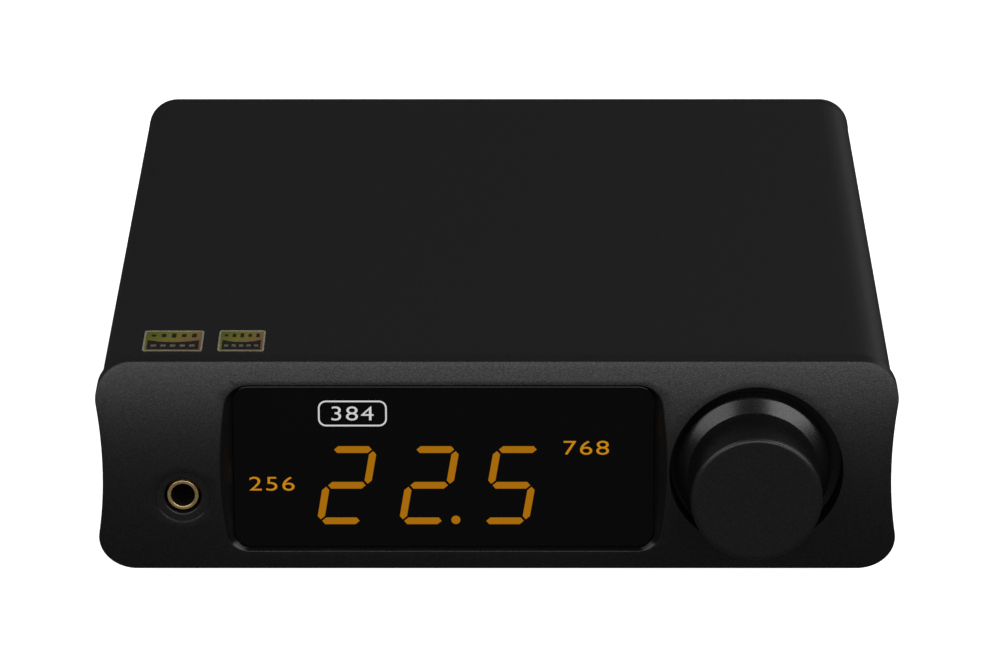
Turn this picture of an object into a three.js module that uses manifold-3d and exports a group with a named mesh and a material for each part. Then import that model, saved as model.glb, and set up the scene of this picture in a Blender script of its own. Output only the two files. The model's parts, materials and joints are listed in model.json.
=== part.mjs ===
// Desktop DAC and headphone amplifier: an extruded aluminium case with a crowned front plate,
// a smoked display window, a push-and-turn volume knob, a headphone jack and a rear row of sockets.
//
// Millimetres. +X to the right, +Y to the rear, +Z up. Inside this file y = 0 is the foremost line
// of the front plate's crown. The whole group is moved along Y at the end, so that the origin
// lies under the middle of the object, on the surface that it stands on.

import * as THREE from 'three';
import { mergeVertices } from 'three/addons/utils/BufferGeometryUtils.js';
import Module from 'manifold-3d';

const wasm = await Module();
wasm.setup();

// ---------------------------------------------------------------- driving dimensions

// Front plate
const PLATE_W = 120;
const PLATE_H = 33.7;
const PLATE_LIFT = 3.3;
const PLATE_BACK = 5.0;
const PLATE_CORNER_R = 5.6;
const PLATE_WAIST = 0.9;
const CROWN_R = 60;
const MID_Z = PLATE_LIFT + PLATE_H / 2;

// Case
const SLEEVE_W = 119;
const SLEEVE_H = 32.5;
const SLEEVE_R = 5;
const SLEEVE_WALL = 1.6;
const REAR_FACE = 125.5;
const REAR_PLATE_T = 1.5;
const REAR_INNER = REAR_FACE - REAR_PLATE_T;
const BOTTOM_Z = MID_Z - SLEEVE_H / 2;
const TOP_Z = MID_Z + SLEEVE_H / 2;
const INNER_W = SLEEVE_W - 2 * SLEEVE_WALL;
const INNER_H = SLEEVE_H - 2 * SLEEVE_WALL;
const INNER_R = SLEEVE_R - SLEEVE_WALL;

// Gaps between separate pieces, and how far a cutting tool reaches past the face that it cuts
const SEAM = 0.1;
const FIT = 0.3;
const PAST = 1;

// Spigot and tabs behind the plate, which the sleeve slides over
const SPIGOT_BACK = 7.0;
const TAB_BACK = 12.5;
const TAB_X = 52;
const TAB_W = 7;
const TAB_H = 4.6;
const FRONT_SCREW_Y = 9.2;
const SPIGOT_OPEN_LEFT = 3;
const SPIGOT_OPEN_RIGHT = 2;

// Screw channels and board rails inside the sleeve
const CHANNEL_START = 16;
const CHANNEL_X = 54.9;
const CHANNEL_H = 11.65;
const CHANNEL_R = 3.2;
const CHANNEL_BORE_R = 1.4;

// Window. Each millimetre of depth moves the sloping walls out by WINDOW_SPREAD at the ends and by
// WINDOW_RISE above and below.
const WINDOW_X = -8.0;
const WINDOW_Z = MID_Z - 0.2;
const WINDOW_W = 63.3;
const WINDOW_H = 26.2;
const WINDOW_R = 2.5;
const WINDOW_DEPTH = 2.3;
const WINDOW_SPREAD = 0.82;
const WINDOW_RISE = 0.5;
const LENS_STEP = 3.2;
const LENS_BACK = 4.6;
const LENS_LIP = 1.0;

// Knob, and the recess round its skirt
const KNOB_X = 38.45;
const KNOB_Z = MID_Z - 0.1;
const KNOB_R = 9.8;
const KNOB_FRONT = -10.7;
const KNOB_EDGE = 0.65;
const SKIRT_R = 11.6;
const SKIRT_FRONT = 1.2;
const KNOB_BACK = 3.3;
const RECESS_X = 38.85;
const RECESS_R = 13.0;
const RECESS_FLOOR = 4.3;

// Encoder
const SHAFT_R = 3.0;
const SHAFT_RUNNING = 0.08;
const BUSHING_R = 3.5;
const BUSHING_TIP = 1.3;
const NUT_ACROSS = 10;
const NUT_T = 2.0;
const WASHER_R = 5.6;
const WASHER_T = 0.4;
const ENCODER_W = 12.4;
const ENCODER_H = 13.2;
const ENCODER_BACK = 13.7;

// Headphone jack
const JACK_X = -47.2;
const JACK_Z = MID_Z - 4.3;
const JACK_SPOT_R = 4.15;
const JACK_SPOT_FLOOR = 0.8;
const JACK_HOLE_R = 2.8;
const JACK_RING_R = 2.36;
const JACK_BORE_R = 1.82;
const JACK_RING_FRONT = 1.2;

// Boards
const BOARD_T = 1.6;
const BOARD_TOP = 13.9;
const BOARD_HALF_W = 57.2;
const BOARD_FRONT = 17;
const BOARD_TONGUE_FRONT = 9;
const BOARD_TONGUE_SIDE = 0.5;
const FRONT_BOARD_Y = 13.9;
const FRONT_BOARD_Z = [6.6, 33.9];
const FRONT_BOARD_X = [-40, 54];

// Display digits
const DIGIT_H = 12.7;
const DIGIT_W = 7.23;
const DIGIT_PITCH = 12.37;
const DIGIT_FIRST_X = -22.57;
const DIGIT_Z = MID_Z - 3.15;
const DIGIT_STROKE = 1.08;
const DIGIT_SLANT = 0.166;

// Rear sockets, from the right-hand end as the front is seen
const ANTENNA_X = 47;
const LINE_LEFT_X = 33;
const LINE_RIGHT_X = 19;
const COAX_X = 4;
const OPTICAL_X = -12;
const USB_X = -27;
const DC_X = -42;
const SOCKET_Z = MID_Z + 0.1;

// Feet
const FOOT_X = 46;
const FOOT_Y = [20, 108];
const FOOT_TOP_R = 6;
const FOOT_BOTTOM_R = 5.5;

// Fasteners
const SCREW_R = 1.2;
const SCREW_HEAD_R = 2.3;
const SCREW_HEAD_T = 1.2;
const HEX_SOCKET_R = 0.85;
const HEX_SOCKET_DEPTH = 1.1;
const REAR_SCREW_L = 9;
const FRONT_SCREW_L = 6;

// Board rails
const RAIL_REACH = 1.5;
const RAIL_ROOT = 0.2;
const RAIL_H = 0.9;

// Foil labels on top: name, x from and to, y from and to
const LABEL_T = 0.1;
const LABEL_LIFT = 0.02;
const LABELS = [
  ['label_left', -53.3, -44.3, 7.8, 16.3],
  ['label_right', -42.0, -35.0, 7.8, 16.4],
];

// Knob and encoder, inside
const KNOB_HOLLOW_R = 6.6;
const KNOB_HOLLOW_FLOOR = 0.4;
const SHAFT_FRONT = -8.4;
const SHAFT_FLAT_END = -1.2;
const SHAFT_FLAT = 1.6;
const SHAFT_BACK = 10.4;
const PLUNGER_BACK = 12.6;

// Display module and infra-red receiver
const SEGMENT_GAP = 0.5;
const DISPLAY_X = [-38.4, 17.6];
const DISPLAY_HALF_H = 12.3;
const DISPLAY_FRONT = 5.3;
const BAR_RELIEF = 0.3;
const POINT_X = -6.2;
const POINT_Z = MID_Z - 8.8;
const POINT_R = 0.68;
const IR_X = 21.2;
const IR_Z = MID_Z + 1.9;
const IR_FRONT = 9;
const IR_HALF_W = 2.6;
const IR_HALF_H = 2.8;
const IR_DOME_R = 1.5;
const IR_DOME_H = 1.6;

// Headphone jack, inside
const JACK_HALF_W = 3.4;
const JACK_BACK = 21;
const JACK_TOP = JACK_Z + 3;
const JACK_END_WALL = 1.5;
const JACK_SLOT_HALF_W = 1.0;
const JACK_CONTACT_Y = 14;
const JACK_CONTACT_HALF_W = 0.7;
const JACK_CONTACT_HALF_L = 2.3;
const JACK_CONTACT_T = 0.3;

// Electrolytic capacitors: centre x and y
const CAPACITOR_R = 4;
const CAPACITOR_H = 11;
const CAPACITORS = [[22, 32], [33, 32], [22, 44], [33, 44]];

// Phono sockets
const PHONO_R = 4.15;
const PHONO_BORE_R = 3.5;
const PHONO_FLANGE_R = 5.0;
const PHONO_FLANGE_T = 0.8;
const PHONO_HALF_W = 5.4;
const PHONO_DEPTH = 10;
const PHONO_CONTACT_R = 1.95;
const PHONO_CONTACT_WALL = 0.3;
const PHONO_CONTACT_SINK = 1.8;
const PHONO_COLLAR_SINK = 1.4;

// Optical socket
const OPTICAL_W = 8.6;
const OPTICAL_H = 9.0;
const OPTICAL_Z = MID_Z;
const OPTICAL_FRONT = REAR_FACE - 14;
const OPTICAL_NOSE = REAR_FACE + 1;
const OPTICAL_SHOULDER = 0.6;
const CAVITY_HALF = 3.3;
const CAVITY_FRONT = REAR_FACE - 6.8;
const SHUTTER_Y = REAR_FACE + 0.2;
const SHUTTER_T = 0.8;
const SHUTTER_GAP = 0.25;
const SHUTTER_Z = OPTICAL_Z + CAVITY_HALF - 0.65;

// USB-C socket
const USB_W = 9.0;
const USB_H = 3.3;
const USB_WALL = 0.3;
const USB_Z = 15.7;
const USB_FRONT = REAR_FACE - 6.8;
const USB_NOSE = REAR_FACE + 0.6;
const USB_PLUG_T = 1.8;
const TONGUE_HALF_W = 3.3;
const TONGUE_T = 0.7;
const TONGUE_SINK = 0.8;

// Power inlet
const DC_Z = MID_Z;
const DC_HALF_W = 4.5;
const DC_TOP = DC_Z + 4.6;
const DC_DEPTH = 13;
const DC_NOSE_R = 4.2;
const DC_NOSE = REAR_FACE + 0.8;
const DC_BORE_R = 3.1;
const DC_BORE_FRONT = DC_NOSE - 9.5;
const DC_PIN_R = 1.0;
const DC_PIN_TIP_R = 0.6;
const DC_PIN_ROOT = 2;
const DC_PIN_SINK = 1.0;

// Antenna connector
const ANTENNA_R = 3.15;
const ANTENNA_BORE_R = 2.25;
const ANTENNA_FLANGE_R = 4.5;
const ANTENNA_FLANGE_T = 1.9;
const ANTENNA_CABLE_R = 2.0;
const ANTENNA_TAIL = 6;
const ANTENNA_CONTACT_R = 0.6;
const ANTENNA_INSULATOR_SINK = 1.8;
const ANTENNA_NUT_ACROSS = 8;
const ANTENNA_NUT_T = 2.2;

// Places that follow from the ones above
const SLEEVE_FRONT = PLATE_BACK + SEAM;
const SLEEVE_BACK = REAR_INNER - SEAM;
const HOUSING_BACK = REAR_INNER - 2 * SEAM;
const BARREL_END = REAR_FACE + 9;
const ANTENNA_END = REAR_FACE + 8.5;
const WASHER_BACK = RECESS_FLOOR - SEAM;
const NUT_BACK = WASHER_BACK - WASHER_T - SEAM;

// ---------------------------------------------------------------- solids

function toSolid(geometry) {
  const bare = geometry.clone();
  bare.deleteAttribute('normal');
  bare.deleteAttribute('uv');
  const merged = mergeVertices(bare, 1e-4);
  const vertProperties = new Float32Array(merged.attributes.position.array);
  const triVerts = new Uint32Array(merged.index.array);
  if (signedVolume(vertProperties, triVerts) < 0) {
    triVerts.reverse();
  }
  return new wasm.Manifold(new wasm.Mesh({ numProp: 3, vertProperties, triVerts }));
}

function signedVolume(points, triangles) {
  const corner = (i) => new THREE.Vector3().fromArray(points, 3 * triangles[i]);
  let total = 0;
  for (let i = 0; i < triangles.length; i += 3) {
    total += corner(i).dot(corner(i + 1).cross(corner(i + 2))) / 6;
  }
  return total;
}

function toGeometry(solid) {
  const mesh = solid.getMesh();
  const geometry = new THREE.BufferGeometry();
  geometry.setAttribute('position', new THREE.BufferAttribute(mesh.vertProperties, 3));
  geometry.setIndex(new THREE.BufferAttribute(mesh.triVerts, 1));
  return geometry;
}

function join(...solids) {
  return solids.reduce((sum, solid) => sum.add(solid));
}

function cut(base, ...tools) {
  return tools.reduce((rest, tool) => rest.subtract(tool), base);
}

// A box between two corners.
function block(x0, x1, y0, y1, z0, z1) {
  const geometry = new THREE.BoxGeometry(x1 - x0, y1 - y0, z1 - z0);
  geometry.translate((x0 + x1) / 2, (y0 + y1) / 2, (z0 + z1) / 2);
  return toSolid(geometry);
}

// A round rod along Y.
function rod(x, z, radius, y0, y1, sides = 24) {
  const geometry = new THREE.CylinderGeometry(radius, radius, y1 - y0, sides);
  geometry.translate(x, (y0 + y1) / 2, z);
  return toSolid(geometry);
}

// A round post along Z, which may taper from the lower radius to the upper one.
function post(x, y, lowerR, upperR, z0, z1, sides = 24) {
  const geometry = new THREE.CylinderGeometry(upperR, lowerR, z1 - z0, sides);
  geometry.rotateX(Math.PI / 2);
  geometry.translate(x, y, (z0 + z1) / 2);
  return toSolid(geometry);
}

// A round rod along X, centred on x.
function alongX(x, y, z, radius, length, sides = 16) {
  const geometry = new THREE.CylinderGeometry(radius, radius, length, sides);
  geometry.rotateZ(Math.PI / 2);
  geometry.translate(x, y, z);
  return toSolid(geometry);
}

// A turned piece about an axis along Y. The profile is a list of [radius, y].
function turned(x, z, profile, sides = 24) {
  const points = profile.map(([radius, y]) => new THREE.Vector2(radius, y));
  const geometry = new THREE.LatheGeometry(points, sides);
  geometry.translate(x, 0, z);
  return toSolid(geometry);
}

// A ring or tube along Y, as a profile that closes on itself.
function tube(x, z, outerR, innerR, y0, y1, sides = 24) {
  const profile = [[innerR, y0], [outerR, y0], [outerR, y1], [innerR, y1], [innerR, y0]];
  return turned(x, z, profile, sides);
}

// A hexagonal bar along Y, with a round hole through it.
function hexNut(x, z, acrossFlats, holeR, y0, y1) {
  return cut(
    rod(x, z, acrossFlats / Math.sqrt(3), y0, y1, 6),
    rod(x, z, holeR, y0 - PAST, y1 + PAST),
  );
}

// An outline in the XZ plane, swept along Y from y0 to y1.
function sweepY(shape, x, z, y0, y1, curveSegments = 8) {
  const geometry = new THREE.ExtrudeGeometry(shape, {
    depth: y1 - y0, bevelEnabled: false, curveSegments,
  });
  geometry.rotateX(Math.PI / 2);
  geometry.translate(x, y1, z);
  return toSolid(geometry);
}

// An outline in the YZ plane, swept along X from x0 to x1.
function sweepX(shape, x0, x1, z, curveSegments = 8) {
  const geometry = new THREE.ExtrudeGeometry(shape, {
    depth: x1 - x0, bevelEnabled: false, curveSegments,
  });
  geometry.applyMatrix4(new THREE.Matrix4().set(0, 0, 1, x0, 1, 0, 0, 0, 0, 1, 0, z, 0, 0, 0, 1));
  return toSolid(geometry);
}

function roundedRect(width, height, radius) {
  const x = width / 2 - radius;
  const y = height / 2 - radius;
  const shape = new THREE.Shape();
  shape.absarc(x, y, radius, 0, Math.PI / 2);
  shape.absarc(-x, y, radius, Math.PI / 2, Math.PI);
  shape.absarc(-x, -y, radius, Math.PI, 1.5 * Math.PI);
  shape.absarc(x, -y, radius, 1.5 * Math.PI, 2 * Math.PI);
  return shape;
}

// A rectangle with round ends. The last trace of a straight end keeps its arcs apart.
function stadium(width, height) {
  return roundedRect(width, height, height / 2 - 0.01);
}

// ---------------------------------------------------------------- scene graph

const group = new THREE.Group();

const FINISH = {
  black_anodised: { color: 0x1b1b1c, roughness: 0.5, metalness: 0.9 },
  smoked_glass: { color: 0x050506, roughness: 0.08, metalness: 0.0 },
  display_grey: { color: 0x8a5a12, roughness: 0.5, metalness: 0.0 },
  circuit_green: { color: 0x14402a, roughness: 0.55, metalness: 0.0 },
  black_plastic: { color: 0x101010, roughness: 0.6, metalness: 0.0 },
  red_plastic: { color: 0xa81c18, roughness: 0.45, metalness: 0.0 },
  white_plastic: { color: 0xe4e2dc, roughness: 0.45, metalness: 0.0 },
  orange_plastic: { color: 0xc96a12, roughness: 0.45, metalness: 0.0 },
  gold_plate: { color: 0xd9a441, roughness: 0.25, metalness: 1.0 },
  steel: { color: 0xb9babc, roughness: 0.35, metalness: 1.0 },
  black_steel: { color: 0x202022, roughness: 0.4, metalness: 0.9 },
  rubber: { color: 0x161616, roughness: 0.85, metalness: 0.0 },
  foil: { color: 0xc9a548, roughness: 0.3, metalness: 0.6 },
  can_aluminium: { color: 0xa9abae, roughness: 0.4, metalness: 0.9 },
};

function add(name, solid, finish) {
  const mesh = new THREE.Mesh(toGeometry(solid), new THREE.MeshStandardMaterial(FINISH[finish]));
  mesh.name = name;
  group.add(mesh);
}

// ---------------------------------------------------------------- front plate

// Front view of the plate: rounded corners joined down each side by a shallow concave arc that
// touches both corner arcs, so that the plate is narrowest at half its height.
function plateOutline() {
  const cornerX = PLATE_W / 2 - PLATE_CORNER_R;
  const cornerY = PLATE_H / 2 - PLATE_CORNER_R;
  const waistX = PLATE_W / 2 - PLATE_WAIST;
  const reach = waistX - cornerX;
  const waistR = (reach ** 2 + cornerY ** 2 - PLATE_CORNER_R ** 2) / (2 * (PLATE_CORNER_R - reach));
  const tilt = Math.atan2(cornerY, waistX + waistR - cornerX);
  const shape = new THREE.Shape();
  shape.absarc(cornerX, cornerY, PLATE_CORNER_R, Math.PI / 2, -tilt, true);
  shape.absarc(waistX + waistR, 0, waistR, Math.PI - tilt, Math.PI + tilt, false);
  shape.absarc(cornerX, -cornerY, PLATE_CORNER_R, tilt, -Math.PI / 2, true);
  shape.absarc(-cornerX, -cornerY, PLATE_CORNER_R, -Math.PI / 2, -Math.PI - tilt, true);
  shape.absarc(-waistX - waistR, 0, waistR, -tilt, tilt, false);
  shape.absarc(-cornerX, cornerY, PLATE_CORNER_R, Math.PI + tilt, Math.PI / 2, true);
  return shape;
}

// A long bar along X whose front is the crown arc and whose back is flat.
function crownBar() {
  const halfH = PLATE_H / 2 + PAST;
  const halfAngle = Math.asin(halfH / CROWN_R);
  const profile = new THREE.Shape();
  profile.absarc(CROWN_R, 0, CROWN_R, Math.PI - halfAngle, Math.PI + halfAngle, false);
  profile.lineTo(PLATE_BACK, -halfH);
  profile.lineTo(PLATE_BACK, halfH);
  return sweepX(profile, -PLATE_W, PLATE_W, MID_Z, 16);
}

// The window pocket: its walls slope in from the crown down to the lens, less steeply at the ends
// than above and below. Two rounded outlines, one before the crown and one at the lens, are joined.
function windowPocket() {
  const front = -PAST;
  const rings = [front, WINDOW_DEPTH].map((y) => windowRing(y, WINDOW_DEPTH - y));
  const count = rings[0].length;
  const centres = rings.map((ring) => [WINDOW_X, ring[0][1], WINDOW_Z]);
  const points = [...rings[0], ...rings[1], ...centres];
  const faces = [];
  for (let i = 0; i < count; i += 1) {
    const j = (i + 1) % count;
    faces.push(i, j, count + j);
    faces.push(i, count + j, count + i);
    faces.push(2 * count, j, i);
    faces.push(2 * count + 1, count + i, count + j);
  }
  const geometry = new THREE.BufferGeometry();
  geometry.setAttribute('position', new THREE.Float32BufferAttribute(points.flat(), 3));
  geometry.setIndex(faces);
  return toSolid(geometry);
}

// The window's rounded outline at depth y, moved outward by the slope of the walls.
function windowRing(y, height) {
  const steps = 8;
  const corners = [[1, 1], [-1, 1], [-1, -1], [1, -1]];
  return corners.flatMap(([sideX, sideZ], quarter) => {
    const ring = [];
    for (let i = 0; i <= steps; i += 1) {
      const angle = (quarter + i / steps) * Math.PI / 2;
      const reachX = WINDOW_R + height * WINDOW_SPREAD;
      const reachZ = WINDOW_R + height * WINDOW_RISE;
      ring.push([
        WINDOW_X + sideX * (WINDOW_W / 2 - WINDOW_R) + reachX * Math.cos(angle),
        y,
        WINDOW_Z + sideZ * (WINDOW_H / 2 - WINDOW_R) + reachZ * Math.sin(angle),
      ]);
    }
    return ring;
  });
}

// The plate is solid with the spigot that the sleeve slides over and the two tabs that its
// bottom screws reach. The display's board is behind the window, so the spigot is open there.
function frontPlate() {
  const slab = sweepY(plateOutline(), 0, MID_Z, -PAST, PLATE_BACK, 9).intersect(crownBar());
  const spigotOutline = roundedRect(INNER_W - 2 * FIT, INNER_H - 2 * FIT, INNER_R - FIT);
  const spigot = cut(
    sweepY(spigotOutline, 0, MID_Z, PLATE_BACK - PAST, SPIGOT_BACK, 4),
    block(WINDOW_X - WINDOW_W / 2 - SPIGOT_OPEN_LEFT, WINDOW_X + WINDOW_W / 2 + SPIGOT_OPEN_RIGHT,
      PLATE_BACK, SPIGOT_BACK + PAST, 0, TOP_Z + PAST),
  );
  const tabFloor = BOTTOM_Z + SLEEVE_WALL + FIT;
  const tabTop = tabFloor + TAB_H;
  const tab = (side) => block(side * TAB_X - TAB_W / 2, side * TAB_X + TAB_W / 2,
    PLATE_BACK - PAST, TAB_BACK, tabFloor, tabTop);
  const tabHole = (side) => post(side * TAB_X, FRONT_SCREW_Y, CHANNEL_BORE_R, CHANNEL_BORE_R,
    tabFloor - PAST, tabTop + PAST, 20);
  const step = 2 * (LENS_LIP + FIT);
  const opening = roundedRect(WINDOW_W, WINDOW_H, WINDOW_R);
  const flangeSeat = roundedRect(WINDOW_W + step, WINDOW_H + step, WINDOW_R + LENS_LIP);
  return cut(
    join(slab, spigot, tab(-1), tab(1)),
    windowPocket(),
    sweepY(opening, WINDOW_X, WINDOW_Z, WINDOW_DEPTH - PAST, PLATE_BACK + PAST),
    sweepY(flangeSeat, WINDOW_X, WINDOW_Z, LENS_STEP - FIT, PLATE_BACK + PAST),
    rod(RECESS_X, MID_Z, RECESS_R, -PAST, RECESS_FLOOR, 48),
    rod(KNOB_X, KNOB_Z, BUSHING_R + FIT, RECESS_FLOOR - PAST, SPIGOT_BACK + PAST),
    rod(JACK_X, JACK_Z, JACK_SPOT_R, -PAST, JACK_SPOT_FLOOR, 28),
    rod(JACK_X, JACK_Z, JACK_HOLE_R, -PAST, SPIGOT_BACK + PAST, 24),
    tabHole(-1),
    tabHole(1),
  );
}

add('front_plate', frontPlate(), 'black_anodised');

// ---------------------------------------------------------------- case

const CHANNELS = [-1, 1].flatMap((side) => [-1, 1].map((level) => [
  side * CHANNEL_X, MID_Z + level * CHANNEL_H,
]));

// One extrusion: a rounded tube with four screw channels and a rail above each edge of the board.
// The channels and rails are milled back at the front, where the plate's spigot goes in.
function sleeve() {
  const outerOutline = roundedRect(SLEEVE_W, SLEEVE_H, SLEEVE_R);
  const innerOutline = roundedRect(INNER_W, INNER_H, INNER_R);
  const tubeWall = cut(
    sweepY(outerOutline, 0, MID_Z, SLEEVE_FRONT, SLEEVE_BACK),
    sweepY(innerOutline, 0, MID_Z, SLEEVE_FRONT - PAST, SLEEVE_BACK + PAST, 6),
  );
  const channels = CHANNELS.map(([x, z]) => (
    rod(x, z, CHANNEL_R, CHANNEL_START, SLEEVE_BACK, 16)
  ));
  const bores = CHANNELS.map(([x, z]) => (
    rod(x, z, CHANNEL_BORE_R, CHANNEL_START - PAST, SLEEVE_BACK + PAST, 12)
  ));
  const rails = [-1, 1].map((side) => {
    const root = side * (INNER_W / 2 + RAIL_ROOT);
    const tip = side * (INNER_W / 2 - RAIL_REACH);
    const floor = BOARD_TOP + FIT;
    return block(Math.min(root, tip), Math.max(root, tip), CHANNEL_START, SLEEVE_BACK,
      floor, floor + RAIL_H);
  });
  return cut(join(tubeWall, ...channels, ...rails), ...bores, screwSeat(-TAB_X), screwSeat(TAB_X));
}

// Countersunk hole in the bottom of the sleeve for a front screw.
function screwSeat(x) {
  const lead = 0.2;
  return join(
    post(x, FRONT_SCREW_Y, CHANNEL_BORE_R, CHANNEL_BORE_R, BOTTOM_Z - PAST,
      BOTTOM_Z + SLEEVE_WALL + PAST, 20),
    post(x, FRONT_SCREW_Y, SCREW_HEAD_R + FIT + lead, CHANNEL_BORE_R, BOTTOM_Z - lead,
      BOTTOM_Z + SCREW_HEAD_T, 20),
  );
}

add('case_sleeve', sleeve(), 'black_anodised');

// Rear plate, held on by four countersunk screws and cut out for the sockets.
function rearPlate() {
  const front = REAR_INNER - PAST;
  const back = REAR_FACE + PAST;
  const sheet = sweepY(roundedRect(SLEEVE_W, SLEEVE_H, SLEEVE_R), 0, MID_Z, REAR_INNER, REAR_FACE);
  const screwHoles = CHANNELS.map(([x, z]) => turned(x, z, [
    [0, front],
    [CHANNEL_BORE_R, front],
    [CHANNEL_BORE_R, REAR_FACE - SCREW_HEAD_T],
    [SCREW_HEAD_R + FIT, REAR_FACE],
    [SCREW_HEAD_R + FIT, back],
    [0, back],
  ], 16));
  const phonoHoles = [LINE_LEFT_X, LINE_RIGHT_X, COAX_X].map((x) => (
    rod(x, SOCKET_Z, PHONO_R + FIT, front, back, 24)
  ));
  const opticalHole = roundedRect(OPTICAL_W + 2 * FIT, OPTICAL_H + 2 * FIT, 2 * FIT);
  return cut(
    sheet,
    ...screwHoles,
    ...phonoHoles,
    rod(ANTENNA_X, SOCKET_Z, ANTENNA_R + FIT, front, back),
    rod(DC_X, DC_Z, DC_NOSE_R + FIT, front, back),
    sweepY(opticalHole, OPTICAL_X, OPTICAL_Z, front, back, 2),
    sweepY(stadium(USB_W + 2 * FIT, USB_H + 2 * FIT), USB_X, USB_Z, front, back, 4),
  );
}

add('rear_plate', rearPlate(), 'black_anodised');

// Countersunk screw along Y with a hexagon socket. The head's face is flush with the rear plate.
function rearScrew(x, z) {
  const tip = REAR_FACE - REAR_SCREW_L;
  const face = REAR_FACE - SEAM;
  const body = turned(x, z, [
    [0, tip],
    [SCREW_R, tip],
    [SCREW_R, REAR_FACE - SCREW_HEAD_T],
    [SCREW_HEAD_R, face],
    [0, face],
  ], 16);
  return cut(body, rod(x, z, HEX_SOCKET_R, face - HEX_SOCKET_DEPTH, REAR_FACE + PAST, 6));
}

CHANNELS.forEach(([x, z], i) => {
  add(`rear_screw_${i + 1}`, rearScrew(x, z), 'black_steel');
});

// Countersunk screw along Z, from below, through the sleeve into the plate's tab.
function frontScrew(x) {
  const neck = BOTTOM_Z + SCREW_HEAD_T;
  const head = post(x, FRONT_SCREW_Y, SCREW_HEAD_R, SCREW_R, BOTTOM_Z, neck, 16);
  const shank = post(x, FRONT_SCREW_Y, SCREW_R, SCREW_R, neck - SCREW_HEAD_T / 2,
    BOTTOM_Z + FRONT_SCREW_L, 16);
  const socket = post(x, FRONT_SCREW_Y, HEX_SOCKET_R, HEX_SOCKET_R, BOTTOM_Z - PAST,
    BOTTOM_Z + HEX_SOCKET_DEPTH, 6);
  return cut(join(head, shank), socket);
}

add('front_screw_left', frontScrew(-TAB_X), 'black_steel');
add('front_screw_right', frontScrew(TAB_X), 'black_steel');

// Feet
const FEET = FOOT_Y.flatMap((y) => [-FOOT_X, FOOT_X].map((x) => [x, y]));
FEET.forEach(([x, y], i) => {
  add(`foot_${i + 1}`, post(x, y, FOOT_BOTTOM_R, FOOT_TOP_R, 0, BOTTOM_Z - SEAM), 'rubber');
});

// Foil labels on top, near the left front corner
LABELS.forEach(([name, x0, x1, y0, y1]) => {
  add(name, block(x0, x1, y0, y1, TOP_Z + LABEL_LIFT, TOP_Z + LABEL_LIFT + LABEL_T), 'foil');
});

// ---------------------------------------------------------------- window and display

// Stepped lens: the middle stands forward into the opening, and the flange is bonded behind it.
function windowLens() {
  const middle = roundedRect(WINDOW_W - 2 * SEAM, WINDOW_H - 2 * SEAM, WINDOW_R - SEAM);
  const flange = roundedRect(WINDOW_W + 2 * LENS_LIP, WINDOW_H + 2 * LENS_LIP, WINDOW_R + LENS_LIP);
  return join(
    sweepY(middle, WINDOW_X, WINDOW_Z, WINDOW_DEPTH, LENS_BACK),
    sweepY(flange, WINDOW_X, WINDOW_Z, LENS_STEP, LENS_BACK),
  );
}

add('window_lens', windowLens(), 'smoked_glass');

// One bar of a seven-segment digit: a six-sided bar with pointed ends, centred on the origin.
function segmentBar(length, upright) {
  const half = length / 2;
  const tip = DIGIT_STROKE / 2;
  const outline = [
    [-half, 0], [tip - half, tip], [half - tip, tip], [half, 0], [half - tip, -tip], [tip - half, -tip],
  ];
  return outline.map(([along, across]) => (upright ? [across, along] : [along, across]));
}

// The seven bars of a digit, as outlines leaning to the right about the digit's centre.
function digitOutlines() {
  const sideX = (DIGIT_W - DIGIT_STROKE) / 2;
  const topZ = (DIGIT_H - DIGIT_STROKE) / 2;
  const across = DIGIT_W - DIGIT_STROKE - SEGMENT_GAP;
  const upright = topZ - SEGMENT_GAP;
  const bars = [
    [0, topZ, across, false], [0, 0, across, false], [0, -topZ, across, false],
    [-sideX, topZ / 2, upright, true], [sideX, topZ / 2, upright, true],
    [-sideX, -topZ / 2, upright, true], [sideX, -topZ / 2, upright, true],
  ];
  return bars.map(([x, z, length, isUpright]) => segmentBar(length, isUpright)
    .map(([dx, dz]) => new THREE.Vector2(x + dx + DIGIT_SLANT * (z + dz), z + dz)));
}

// Display module: a moulded block whose digit bars stand a little proud of its face.
function displayModule() {
  const barFront = DISPLAY_FRONT - BAR_RELIEF;
  const barBack = DISPLAY_FRONT + BAR_RELIEF;
  const bars = [0, 1, 2].flatMap((place) => digitOutlines().map((points) => (
    sweepY(new THREE.Shape(points), DIGIT_FIRST_X + place * DIGIT_PITCH, DIGIT_Z, barFront, barBack)
  )));
  const point = rod(POINT_X, POINT_Z, POINT_R, barFront, barBack, 12);
  const moulding = block(DISPLAY_X[0], DISPLAY_X[1], DISPLAY_FRONT, FRONT_BOARD_Y - SEAM,
    MID_Z - DISPLAY_HALF_H, MID_Z + DISPLAY_HALF_H);
  return join(moulding, point, ...bars);
}

add('display_module', displayModule(), 'display_grey');

// Infra-red receiver: a square body with a round dome towards the window.
function irReceiver() {
  const body = block(IR_X - IR_HALF_W, IR_X + IR_HALF_W, IR_FRONT, FRONT_BOARD_Y - SEAM,
    IR_Z - IR_HALF_H, IR_Z + IR_HALF_H);
  const dome = turned(IR_X, IR_Z, [
    [0, IR_FRONT - IR_DOME_H],
    [0.5 * IR_DOME_R, IR_FRONT - 0.85 * IR_DOME_H],
    [0.87 * IR_DOME_R, IR_FRONT - 0.45 * IR_DOME_H],
    [IR_DOME_R, IR_FRONT + SEAM],
    [0, IR_FRONT + SEAM],
  ], 20);
  return join(body, dome);
}

add('ir_receiver', irReceiver(), 'black_plastic');
add('front_board', block(FRONT_BOARD_X[0], FRONT_BOARD_X[1], FRONT_BOARD_Y, FRONT_BOARD_Y + BOARD_T,
  FRONT_BOARD_Z[0], FRONT_BOARD_Z[1]), 'circuit_green');

// ---------------------------------------------------------------- knob and encoder

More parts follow.
